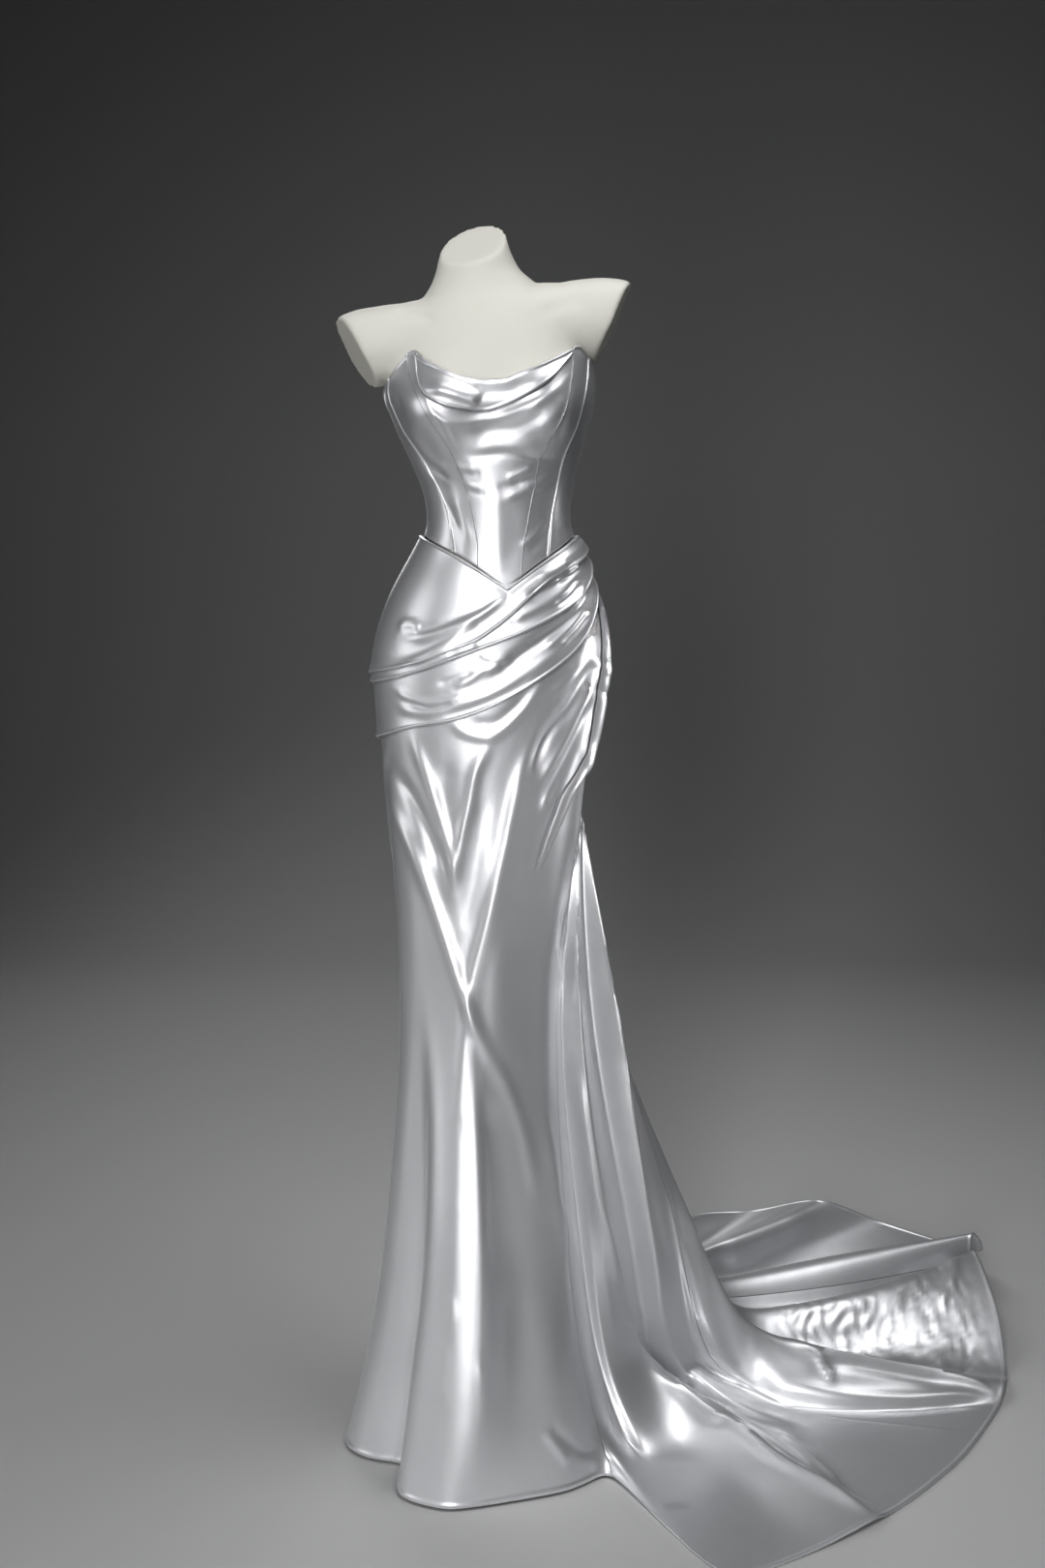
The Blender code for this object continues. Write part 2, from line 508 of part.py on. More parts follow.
def make_form(shell):
    """The dress form: one smooth closed torso, trimmed flat at the neck, the arms and the hips."""
    heights = (0.955, 0.985, 1.02, 1.06, 1.10, 1.14, 1.18, 1.215, 1.25, 1.285, 1.315, 1.34, 1.36, 1.38, 1.40)
    heights += (1.42, 1.44, 1.4445, 1.450, 1.460, 1.475, 1.497, 1.518, 1.534, 1.543, 1.549, 1.553, 1.563)
    heights += (1.578, 1.60, 1.66)
    side = (-124, -112, -104, -97, -90, -83, -79.5, -76, -73, -70, -63)
    angles = np.array([-180, -166, -152, -138, *side, -54, -45, -36, -27, -18, -9, 0])
    angles = np.concatenate([angles, -angles[-2:0:-1]])
    bm = bmesh.new()
    rings = []
    for height in heights:
        level = np.full(len(angles), height)
        rings.append([bm.verts.new(p) for p in placed(*form_radius(angles, level), angles, level)])
    for low, high in zip(rings, rings[1:]):
        for i in range(len(low)):
            j = (i + 1) % len(low)
            bm.faces.new((low[i], low[j], high[j], high[i]))
    bm.faces.new(rings[0])
    bm.faces.new(rings[-1])
    for side, lowest, point, facing in FORM_TRIMS:
        faces = [f for f in bm.faces if all(v.co.z > lowest for v in f.verts)]
        faces = [f for f in faces if any(side * v.co.x >= abs(side) * ARM_FROM for v in f.verts)]
        near = list({v for f in faces for v in f.verts}) + list({e for f in faces for e in f.edges}) + faces
        found = bmesh.ops.bisect_plane(bm, geom=near, plane_co=point, plane_no=facing, clear_outer=True)
        cut = [e for e in found["geom_cut"] if isinstance(e, bmesh.types.BMEdge)]
        bmesh.ops.edgeloop_fill(bm, edges=cut)
    object_of("form_torso", bm, shell)


def turned(name, profile, material, sides=32):
    """A solid of revolution about the Z axis. Its profile lists radius and height, from the bottom up."""
    bm = bmesh.new()
    rings = []
    for radius, height in profile:
        angles = [2 * math.pi * k / sides for k in range(sides)]
        rings.append([bm.verts.new((radius * math.cos(a), radius * math.sin(a), height)) for a in angles])
    for low, high in zip(rings, rings[1:]):
        for i in range(sides):
            j = (i + 1) % sides
            bm.faces.new((low[i], low[j], high[j], high[i]))
    bm.faces.new(rings[0][::-1])
    bm.faces.new(rings[-1])
    return object_of(name, bm, material)


def make_stand(steel):
    """A round base, a pole and the collar that carries the torso."""
    edge, gap = 0.003, 0.0003
    rim = [(BASE_RADIUS, 0), (BASE_RADIUS, BASE_THICKNESS - edge), (BASE_RADIUS - edge, BASE_THICKNESS)]
    turned("stand_base", rim, steel)
    collar_top = FORM_SECTIONS[0][0] - gap
    collar_bottom = collar_top - COLLAR_LENGTH
    turned("stand_collar", [(COLLAR_RADIUS, collar_bottom), (COLLAR_RADIUS, collar_top)], steel)
    turned("stand_pole", [(POLE_RADIUS, BASE_THICKNESS + gap), (POLE_RADIUS, collar_bottom - gap)], steel, 20)


def main():
    for old in list(bpy.data.objects):
        bpy.data.objects.remove(old)
    satin = material_of("satin", SATIN)
    make_form(material_of("form_shell", FORM_SHELL))
    make_stand(material_of("steel", STEEL))
    make_bodice(satin)
    make_neckline_drape(satin)
    make_placket(satin)
    make_hip_pleats(satin)
    make_skirt(satin)
    make_cascade(satin)


main()
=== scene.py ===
"""The looks of a strapless satin mermaid gown with a swept train, worn by a limbless dress form.

Every cloth piece is its solid's own surface on a finer grid, with creases laid on it as soft ridges and
troughs. The gown faces -Y. Angles go round the body from its front: 0 the centre front, 90 the +X side.
"""

import math

import bmesh
import bpy
import numpy as np
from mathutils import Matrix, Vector


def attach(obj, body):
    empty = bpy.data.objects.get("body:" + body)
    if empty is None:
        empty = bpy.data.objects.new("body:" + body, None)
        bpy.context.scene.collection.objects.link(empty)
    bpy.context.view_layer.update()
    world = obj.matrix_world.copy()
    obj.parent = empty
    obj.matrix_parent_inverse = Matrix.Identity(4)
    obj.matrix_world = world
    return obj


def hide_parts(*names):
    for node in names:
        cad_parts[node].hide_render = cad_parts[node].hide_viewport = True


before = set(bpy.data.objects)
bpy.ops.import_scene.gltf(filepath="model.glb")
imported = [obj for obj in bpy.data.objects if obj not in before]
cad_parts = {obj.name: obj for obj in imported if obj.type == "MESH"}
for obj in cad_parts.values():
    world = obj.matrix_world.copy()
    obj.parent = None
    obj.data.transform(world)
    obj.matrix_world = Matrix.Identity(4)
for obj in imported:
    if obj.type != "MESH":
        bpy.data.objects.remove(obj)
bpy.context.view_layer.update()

# Lengths are in metres and angles in degrees, unless a comment says otherwise.
MILLIMETRE = 0.001
CLOTH = 0.0015
EASE = 0.0050
SEAM_GAP = 0.0007
LAP = 0.0022
# How far covered cloth stays below the creases over it, how soon it does so inside the edges of the pleats
# and the drape, and the angle of the pleats' middle.
UNDER = 0.0010
PLEAT_FADE, SIDE_FADE, DRAPE_FADE = 0.016, 6.0, 0.008
PLEATS_MIDDLE = -1.25
# A pleat's free edge: its lift, how wide that is, the share left at its ends, and the share an end takes.
EDGE_LIFT, EDGE_WIDTH = 0.0025, 0.020
END_LIFT, PLEAT_END = 0.5, 0.07
DRAPE_RISE, DRAPE_LAPS = 0.006, 1.5
SIDE_BACK_SEAM = 128.0
SEAM_CENTRE = 2.5
BASQUE_POINT = (9.5, 1.173)
BASQUE_SIDE_HEIGHT = 1.240
PLACKET_HALF_WIDTH, PLACKET_TOP, PLACKET_BOTTOM = 5.5, 1.384, 1.250

SHARP_ANGLE = 60.0

# Sections of the dress form and of the skirt over it: height, centre's x, half width, depth to the front and
# to the back, and how square the section is, 2 for an ellipse. The depth turns over within this cosine.
DEPTH_TURN = 1.2
FORM_SECTIONS = (
    (0.955, -0.004, 0.1170, 0.078, 0.088, 2.2),
    (1.010, 0.000, 0.1320, 0.084, 0.102, 2.2),
    (1.065, 0.0025, 0.1365, 0.087, 0.107, 2.2),
    (1.118, 0.006, 0.1310, 0.085, 0.100, 2.2),
    (1.170, 0.010, 0.1170, 0.081, 0.089, 2.2),
    (1.210, 0.0125, 0.1030, 0.079, 0.082, 2.2),
    (1.252, 0.014, 0.0880, 0.081, 0.079, 2.2),
    (1.296, 0.0125, 0.0910, 0.084, 0.081, 2.2),
    (1.330, 0.009, 0.1010, 0.088, 0.085, 2.25),
    (1.375, 0.0055, 0.1175, 0.093, 0.090, 2.3),
    (1.416, 0.0035, 0.1290, 0.095, 0.092, 2.35),
    (1.455, 0.001, 0.1260, 0.089, 0.089, 2.3),
    (1.490, -0.002, 0.1150, 0.079, 0.083, 2.2),
    (1.520, -0.006, 0.0980, 0.066, 0.072, 2.1),
    (1.545, -0.010, 0.0740, 0.054, 0.060, 2.0),
    (1.565, -0.013, 0.0580, 0.048, 0.052, 2.0),
    (1.590, -0.016, 0.0470, 0.044, 0.045, 2.0),
    (1.660, -0.020, 0.0410, 0.041, 0.041, 2.0),
)
SKIRT_SECTIONS = (
    (0.900, -0.0055, 0.1310, 0.094, 0.108, 2.2),
    (0.940, -0.005, 0.1355, 0.096, 0.114, 2.2),
    (1.010, 0.000, 0.1465, 0.098, 0.119, 2.2),
    (1.065, 0.0025, 0.1510, 0.100, 0.123, 2.2),
    (1.118, 0.006, 0.1450, 0.099, 0.115, 2.2),
    (1.170, 0.010, 0.1295, 0.094, 0.103, 2.2),
    (1.210, 0.0125, 0.1130, 0.0905, 0.094, 2.2),
    (1.252, 0.014, 0.0940, 0.0870, 0.085, 2.2),
)
BUST = {"angle": 38.0, "height": 1.386, "rise": 0.022, "spread": 21.0, "above": 0.050, "below": 0.036}
ARM = {"height": 1.497, "half_height": 0.048, "half_depth": 0.050, "reach": 0.245, "sharpness": 8.0}
SHOULDER_TILT, SHOULDER_DROOP = 0.110, 0.12
TILT_FROM, TILT_OVER, DROOP_FROM = 1.380, 0.090, 0.08
# The cuts: the side, 0 for the neck, what they stay above, a point of the cut, and the way that it faces.
FORM_TRIMS = (
    (0, 1.530, (-0.019, 0.0, 1.6065), (-0.25, -0.69, 1.0)),
    (-1, 1.395, (-0.171, 0.0, 1.470), (-0.83, -0.22, -0.51)),
    (1, 1.445, (0.1615, 0.0, 1.506), (0.89, -0.06, -0.45)),
)
ARM_FROM = 0.130

# Edges, as angles and heights, and seams, as heights and angles: on the left and on the right where two.
TOP_EDGE = (
    (-180, 1.385), (-150, 1.388), (-125, 1.397), (-105, 1.410), (-90, 1.427), (-80, 1.441), (-71, 1.456),
    (-64, 1.466), (-54, 1.479), (-47, 1.469), (-38, 1.4565), (-28, 1.444), (-16, 1.433), (-3, 1.428),
    (10, 1.428), (22, 1.434), (34, 1.441), (45, 1.4495), (56, 1.459), (66, 1.466), (71, 1.459),
    (78, 1.4465), (86, 1.435), (96, 1.424), (110, 1.411), (125, 1.400), (150, 1.390), (180, 1.385),
)
PRINCESS_SEAM = (
    (1.170, 18.0), (1.215, 18.5), (1.255, 22.0), (1.300, 27.5), (1.345, 33.0), (1.390, 39.5), (1.420, 46.5),
    (1.445, 54.0), (1.476, 60.0),
)
SIDE_FRONT_SEAM = (
    (1.170, 39.0, 41.0), (1.215, 40.0, 40.5), (1.255, 45.5, 43.5), (1.300, 54.0, 49.0),
    (1.345, 63.0, 52.5), (1.400, 71.0, 58.0), (1.440, 74.5, 68.0), (1.474, 77.0, 80.0),
)
DRAPE_EDGE = (
    (-50, 1.466), (-44, 1.436), (-36, 1.408), (-24, 1.393), (-4, 1.389),
    (10, 1.395), (24, 1.407), (36, 1.421), (46, 1.436), (57, 1.452),
)
PLEAT_EDGES = {
    "hip_pleat_upper": (
        (-95, 1.058), (-60, 1.070), (-46, 1.078), (-30, 1.092), (-10, 1.107), (0, 1.119),
        (13, 1.138), (26, 1.161), (42, 1.185), (70, 1.208), (92, 1.223),
    ),
    "hip_pleat_middle": (
        (-95, 1.046), (-60, 1.058), (-46, 1.068), (-17, 1.090), (18, 1.114), (45, 1.140),
        (60, 1.160), (72, 1.180), (82, 1.197), (92, 1.206),
    ),
    "hip_pleat_lower": (
        (-95, 0.972), (-70, 0.984), (-48, 0.997), (-21, 1.008), (5, 1.026), (30, 1.053),
        (50, 1.084), (62, 1.112), (72, 1.142), (82, 1.168), (92, 1.182),
    ),
}
# A pleat starts above the free edge over it by a least height and a share of that pleat's height.
TUCK_SHARE, TUCK_LEAST = 0.10, 0.003

# The folds in their order round the body: the angles at the waist and the thigh, then x and y at the knee and
# the shin, and x, y and z at three places down to the hem, in millimetres.
KNEE_HEIGHT, SHIN_HEIGHT, THIGH_HEIGHT = 0.600, 0.300, 0.900
FOLDS = {
    "left_seam": (-95, -95, (-119.5, 10), (-141, 22), (-160, 26, 150), (-172, 30, 68), (-186, 34, 3)),
    "left_flute": (-76, -76, (-120.5, -30), (-143.5, -35), (-166, -42, 150), (-185, -47, 68), (-202, -50, 3)),
    "left_slope": (-62, -62, (-106, -55), (-121, -72), (-138, -80, 150), (-149, -87, 68), (-160, -93, 3)),
    "left_valley": (-50, -50, (-89, -68), (-81, -84), (-94, -95, 150), (-103, -100, 68), (-112, -104, 3)),
    "main_slope": (-38, -38, (-72, -80), (-87, -126), (-105, -150, 150), (-115, -163, 68), (-124, -173, 3)),
    "main_flute": (-18, -18, (-38, -94), (-43, -155), (-46, -186, 150), (-51, -200, 68), (-57, -209, 3)),
    "main_edge": (-8, -6, (-20, -96), (-4, -157), (-8, -188, 150), (-15, -201, 68), (-22, -205, 3)),
    "front_valley": (5, 6, (12, -93), (26, -104), (26, -152, 150), (25, -178, 68), (24, -193, 3)),
    "third_flute": (30, 28, (38, -76), (60, -90), (82, -136, 150), (88, -158, 68), (92, -172, 3)),
    "right_panel": (54, 46, (56, -62), (86, -74), (100, -122, 150), (107, -146, 68), (114, -160, 3)),
    "side_crest": (78, 66, (74, -48), (98, -60), (112, -106, 150), (122, -132, 68), (132, -147, 3)),
    "right_seam": (92, 92, (92, -18), (104, -46), (122, -76, 150), (143, -105, 60), (163, -128, 3)),
    "first_valley": (95, 93.5, (97, -8), (121, -10), (150, -30, 100), (190, -80, 10), (222, -238, 0)),
    "front_floor": (98, 95, (106, -14), (135, -20), (165, -34, 104), (228, -110, 2), (292, -352, 0)),
    "right_floor": (101, 96.5, (115, -20), (150, -27), (186, -8, 106), (286, -85, 0), (400, -298, 0)),
    "pinch_crest": (104, 98, (124, -24), (163, -28), (213, 45, 98), (342, -40, 36), (488, -240, 8)),
    "pinch_valley": (109, 100, (136, 16), (188, 20), (248, 85, 30), (374, -8, 0), (516, -216, 0)),
    "outer_crest": (115, 103, (178, -4), (225, 0), (268, 75, 60), (405, 0, 4), (565, -172, 0)),
    "outer_valley": (121, 109, (168, 50), (250, 55), (308, 88, 45), (455, 10, 0), (650, -80, 0)),
    "roll_front": (127, 115, (166, 66), (260, 66), (350, 72, 45), (515, 34, 4), (732, 46, 0)),
    "roll_crest": (134, 122, (160, 86), (277, 84), (378, 92, 110), (540, 88, 62), (752, 88, 18)),
    "roll_valley": (142, 132, (138, 98), (245, 130), (392, 170, 30), (560, 165, 2), (770, 140, 0)),
    "long_slope": (150, 141, (128, 108), (232, 150), (396, 196, 42), (570, 220, 40), (788, 255, 52)),
    "long_crest": (159, 151, (115, 118), (218, 172), (396, 228, 62), (580, 272, 80), (783, 386, 100)),
    "long_valley": (168, 162, (92, 106), (185, 175), (365, 290, 20), (575, 335, 2), (794, 420, 6)),
    "second_crest": (178, 174, (70, 120), (155, 215), (350, 335, 62), (590, 405, 84), (800, 455, 98)),
    "second_valley": (188, 186, (45, 106), (120, 210), (315, 395, 15), (545, 480, 2), (842, 505, 24)),
    "low_crest": (193, 191, (30, 110), (98, 217), (292, 402, 30), (480, 500, 32), (675, 595, 48)),
    "third_crest": (199, 198, (14, 117), (78, 228), (270, 405, 55), (420, 490, 80), (565, 575, 100)),
    "third_valley": (210, 210, (-18, 101), (35, 200), (190, 390, 15), (320, 520, 10), (460, 645, 45)),
    "last_crest": (222, 222, (-48, 105), (-5, 198), (100, 380, 45), (220, 500, 55), (345, 620, 55)),
    "back_floor": (236, 236, (-78, 85), (-50, 155), (-10, 290, 25), (60, 410, 2), (140, 530, 0)),
    "back_flute": (250, 250, (-102, 55), (-105, 105), (-115, 170, 50), (-120, 250, 2), (-100, 340, 0)),
}
# The fold that each panel starts and ends at, and the share of the way to the next one.
SKIRT_PIECES = {
    "skirt_front": (("left_seam", 0), ("right_seam", 0)),
    "train_front_gore": (("right_seam", 0), ("outer_valley", 0.5)),
    "train_side_gore": (("outer_valley", 0.5), ("long_valley", 0.5)),
    "train_back_gore": (("long_valley", 0.5), ("last_crest", 0.5)),
    "skirt_back": (("last_crest", 0.5), ("left_seam", 0)),
}
# The rolled fold by station: its middle, in folds from the side crest, its half width in folds and its rise.
CASCADE = (
    (0.52, 0.46, 0.12, 0.0003), (0.71, 0.45, 0.22, 0.004), (1.10, 0.42, 0.28, 0.007),
    (1.58, 0.32, 0.30, 0.008), (2.05, 0.38, 0.30, 0.008), (2.49, 0.45, 0.30, 0.008),
    (2.72, 0.25, 0.30, 0.007), (2.88, -0.05, 0.28, 0.006), (3.05, -0.35, 0.24, 0.004),
    (3.20, -0.70, 0.17, 0.002), (3.34, -1.05, 0.05, 0.0003),
)
# Its cloth starts this many stations lower, clear of the pleats.
CASCADE_DROP = 0.10
HIP_STATIONS = 3

# Creases: half width and height, then the points along their length, all in millimetres. A negative height is
# a trough. Two half widths are the ones to the left of its direction and to the right. Those of the front and
# the back are drawn by x and z, those of the sides by y and z, and the train's by x and y.
BODICE_CREASES = (
    ((4, 6), 2.4, (-81, 1419), (-73, 1399), (-66, 1387), (-55, 1379), (-42, 1376), (-24, 1376), (-3, 1380),
     (21, 1385), (45, 1393), (66, 1402), (86, 1416), (103, 1434)),
    (1.6, -0.9, (-64, 1385), (-55, 1370), (-50, 1358)),
    (6, 1.2, (-52, 1378), (-42, 1358), (-33, 1337)),
    (7, -1.5, (-22, 1364), (3, 1365), (33, 1368), (59, 1378), (75, 1391)),
    ((10, 5), 1.4, (-13, 1345), (15, 1347), (45, 1346), (76, 1342)),
    (7, 1.3, (97, 1410), (89, 1390), (76, 1372), (59, 1361)),
    (4, 0.7, (68, 1399), (56, 1391), (46, 1384)),
    (5, -1.3, (-30, 1335), (-3, 1336), (21, 1339), (45, 1336), (64, 1332), (91, 1334)),
    (2.8, -1.0, (40, 1337), (64, 1331), (88, 1334)),
    ((4, 3), 1.6, (23, 1307), (42, 1314), (59, 1322)),
    (3, -1.2, (28, 1302), (51, 1308), (71, 1312)),
    (3, 1.1, (45, 1298), (64, 1305), (81, 1315)),
    (3.5, -0.9, (12, 1296), (30, 1300), (47, 1302)),
    ((5, 4), 1.7, (17, 1281), (37, 1289), (57, 1296), (76, 1300), (86, 1311)),
    (3.5, -1.0, (54, 1288), (71, 1293), (87, 1305)),
    (4, 0.9, (-42, 1326), (-28, 1320), (-13, 1321)),
    (3, -0.8, (-30, 1316), (-18, 1313), (-7, 1315)),
    (3.5, 0.9, (-30, 1306), (-16, 1298), (-4, 1298)),
    (3, -0.6, (-23, 1294), (-11, 1290), (-1, 1291)),
    ((9, 7), 0.8, (12, 1307), (13, 1266), (14, 1225), (16, 1185)),
    (4, 0.8, (41, 1223), (59, 1239), (76, 1258)),
    (5, -0.7, (51, 1215), (66, 1230), (80, 1247)),
    (12, -0.7, (34, 1282), (36, 1245), (32, 1200)),
    (4, -1.1, (-104, 1369), (-93, 1349), (-77, 1329), (-58, 1315), (-45, 1306)),
    (5, 1.1, (-107, 1392), (-96, 1365), (-79, 1342), (-62, 1326), (-42, 1314)),
    (4, -0.9, (-112, 1415), (-104, 1386), (-91, 1359)),
    ((14, 10), -2.0, (-37, 1175), (-39, 1215), (-44, 1255), (-57, 1300), (-72, 1345), (-88, 1380)),
    (4, -0.9, (-55, 1284), (-45, 1263), (-36, 1244)),
    (5, 0.8, (-40, 1285), (-31, 1261), (-21, 1231)),
    (4, 0.7, (-98, 1338), (-80, 1318), (-64, 1306)),
    (4, -0.9, (102, 1392), (95, 1374), (87, 1355)),
    (5, 0.8, (108, 1420), (104, 1396), (98, 1374)),
)
# The fold at the neckline: the ridge from its left point, the face under it, the hollow and the roll.
DRAPE_CREASES = (
    ((4, 14), -1.6, (-97, 1475), (-88, 1459), (-79, 1449), (-65, 1443), (-47, 1436), (-29, 1427), (-16, 1417),
     (-7, 1407)),
    ((14, 5), 3.6, (-76, 1417), (-52, 1412), (-33, 1407), (-19, 1402), (-8, 1396)),
    (4, 1.0, (-69, 1404), (-52, 1396), (-31, 1393), (-9, 1393)),
    (8, -1.0, (15, 1412), (39, 1418), (62, 1430), (86, 1446), (105, 1462)),
    (5, 0.9, (30, 1428), (58, 1440), (84, 1456)),
)
HIP_CREASES = (
    (5, 3.0, (-114, 1118), (-104, 1128), (-92, 1126), (-84, 1120)),
    (5, 3.0, (-114, 1112), (-87, 1111), (-62, 1118), (-31, 1130), (-4, 1143), (26, 1167)),
    (5, -1.6, (-95, 1119), (-62, 1126), (-34, 1139), (-4, 1152), (20, 1165)),
    (7, 2.6, (-128, 1066), (-86, 1084), (-55, 1101), (-28, 1123), (-8, 1136)),
    (7, -3.4, (48, 1160), (81, 1176), (108, 1196)),
    (5, 1.6, (62, 1186), (88, 1196), (104, 1208)),
    (5, -2.6, (84, 1150), (106, 1166), (118, 1180)),
    (6, 2.0, (30, 1132), (52, 1143), (82, 1158), (108, 1176)),
    (5, 2.2, (-120, 1045), (-103, 1036), (-75, 1028), (-44, 1035), (-13, 1046)),
    (8, 3.2, (-116, 1034), (-102, 1019), (-72, 1018), (-29, 1030), (8, 1042), (51, 1066), (97, 1101),
     (128, 1135)),
    (4, -1.8, (-100, 1029), (-72, 1023), (-41, 1031)),
    (6, 2.2, (-44, 1048), (-22, 1061), (-4, 1073), (28, 1083)),
    (5, 1.4, (-12, 1092), (8, 1086), (34, 1083)),
    (4, 1.4, (-2, 1068), (20, 1078)),
    (4, -1.2, (-24, 1067), (2, 1078), (24, 1076)),
    (8, -4.0, (8, 1064), (51, 1096), (90, 1124), (124, 1152)),
    (5, 2.6, (70, 1096), (100, 1120), (130, 1150)),
    (4, -2.4, (88, 1180), (106, 1190), (118, 1200)),
    (4, 2.2, (96, 1136), (114, 1156), (124, 1176)),
    (4, -2.6, (92, 1098), (114, 1122), (130, 1142)),
    (5, -1.6, (-52, 1090), (-30, 1096), (-10, 1104)),
    (5, -1.4, (-66, 1052), (-38, 1060), (-14, 1070)),
    (6, -1.2, (-60, 1010), (-16, 1024), (30, 1048), (70, 1078)),
)
SKIRT_CREASES = (
    (6, 2.4, (-50, 1008), (-32, 994), (-4, 986), (14, 992), (38, 1013), (63, 1043), (74, 1060)),
    (6, -1.8, (-30, 1006), (8, 1004), (32, 1020), (54, 1042)),
    (7, 3.0, (137, 1123), (128, 1099), (114, 1072), (97, 1051), (72, 1034)),
    (5, -2.4, (137, 1111), (122, 1084), (104, 1066)),
    (8, -6.0, (140, 1083), (128, 1059), (106, 1023), (82, 996), (68, 971), (50, 928)),
    (7, 4.6, (140, 1057), (122, 1021), (104, 985), (82, 949), (66, 918)),
    (8, -6.0, (140, 1038), (123, 999), (101, 953), (82, 917), (66, 880)),
    (8, 3.0, (-99, 996), (-86, 956), (-70, 910), (-56, 864), (-47, 818), (-46, 780)),
    (8, 3.0, (8, 985), (-14, 944), (-24, 897), (-33, 860), (-41, 818), (-46, 780)),
    (9, 4.6, (-132, 925), (-123, 885), (-99, 837), (-80, 792), (-57, 723), (-39, 667), (-25, 629), (-6, 583),
     (17, 538)),
    ((16, 9), 4.4, (70, 1000), (47, 948), (34, 897), (23, 842), (9, 781), (-10, 710), (-20, 667), (-27, 620),
     (-31, 567), (-35, 498)),
    (9, -4.2, (-126, 942), (-98, 903), (-75, 854), (-57, 803)),
    (12, -1.6, (-50, 960), (-56, 900), (-48, 850)),
    (12, -1.6, (-1, 925), (-15, 828), (-36, 720)),
    (12, 1.4, (96, 955), (76, 905), (56, 850), (42, 794), (26, 733), (12, 676), (2, 620)),
    (9, 3.0, (8, 566), (26, 518), (42, 471), (54, 420), (62, 360)),
    ((17, 8), -6.0, (-2, 520), (3, 470), (8, 421), (10, 340), (14, 240)),
    (5, 1.0, (-51, 270), (-46, 251), (-50, 231)),
    (6, 1.2, (-10, 190), (-4, 151), (-7, 108)),
    (6, 1.0, (-62, 215), (-56, 190), (-60, 160), (-52, 130)),
    (6, 2.0, (74, 82), (90, 59), (106, 33)),
    (6, -2.0, (85, 85), (117, 48), (145, 30)),
    ((5, 10), 4.0, (75, 485), (89, 387), (94, 348), (119, 253)),
    ((5, 12), 4.4, (117, 547), (132, 452), (146, 359), (171, 264), (206, 115)),
    ((5, 15), -5.0, (188, 560), (195, 513), (210, 414), (231, 311), (259, 193)),
    (6, 3.0, (244, 352), (257, 292), (270, 224), (287, 153), (305, 80)),
)
BACK_CREASES = (
    ((8, 5), 2.2, (-108, 1092), (-78, 1070), (-42, 1060), (-12, 1062)),
    (6, -2.0, (-112, 1062), (-82, 1044), (-50, 1036)),
    ((6, 9), 2.4, (118, 1075), (86, 1048), (50, 1034), (22, 1030)),
    (6, -1.8, (120, 1038), (92, 1018), (62, 1006)),
    (9, -3.0, (-104, 985), (-74, 948), (-44, 922), (-20, 912)),
    ((9, 6), 2.8, (-110, 950), (-78, 905), (-48, 872)),
    ((7, 10), 3.2, (112, 980), (84, 932), (52, 894), (30, 878)),
    (8, -3.0, (108, 930), (82, 884), (58, 850)),
    ((12, 8), 3.4, (-64, 880), (-46, 806), (-32, 726), (-22, 640)),
    (9, -2.6, (-36, 842), (-24, 776), (-14, 700)),
    ((9, 13), 3.6, (58, 862), (48, 786), (38, 704), (34, 610)),
    (8, -2.4, (24, 820), (20, 744), (16, 672)),
    (8, 2.2, (-92, 716), (-62, 678), (-34, 652)),
    (9, -2.8, (96, 700), (70, 656), (50, 624)),
    (5, 0.9, (-58, 1168), (-40, 1160), (-20, 1162)),
    (6, 1.2, (34, 1150), (60, 1141), (88, 1148)),
    (5, -0.8, (28, 1166), (48, 1172), (70, 1170)),
)
SIDE_CREASES = (
    ((8, 6), 2.0, (-62, 1096), (-30, 1070), (8, 1058), (40, 1060)),
    (7, -1.8, (-54, 1058), (-22, 1036), (12, 1028)),
    ((12, 8), 3.0, (-48, 980), (-22, 930), (-6, 872), (2, 800)),
    (10, -2.8, (20, 960), (28, 900), (30, 824)),
    ((9, 12), 3.2, (56, 930), (54, 868), (46, 790), (42, 716)),
    (11, -3.0, (-20, 760), (-8, 690), (-2, 610)),
)
BACK_BODICE_CREASES = (
    ((5, 4), 1.3, (-86, 1274), (-62, 1262), (-34, 1260)),
    (4, -0.9, (-80, 1256), (-56, 1249), (-34, 1249)),
    ((4, 5), 1.2, (30, 1268), (56, 1262), (84, 1272)),
    (4, -0.9, (34, 1284), (58, 1280), (80, 1290)),
    (6, -1.3, (-96, 1346), (-74, 1324), (-44, 1310)),
    (5, 1.1, (-90, 1322), (-68, 1304), (-46, 1296)),
    ((6, 5), 1.4, (98, 1352), (74, 1330), (46, 1318)),
    (5, -1.0, (92, 1326), (70, 1308), (50, 1302)),
    (5, 0.9, (-88, 1374), (-62, 1364), (-36, 1366)),
    (5, -0.8, (38, 1368), (62, 1372), (84, 1366)),
)
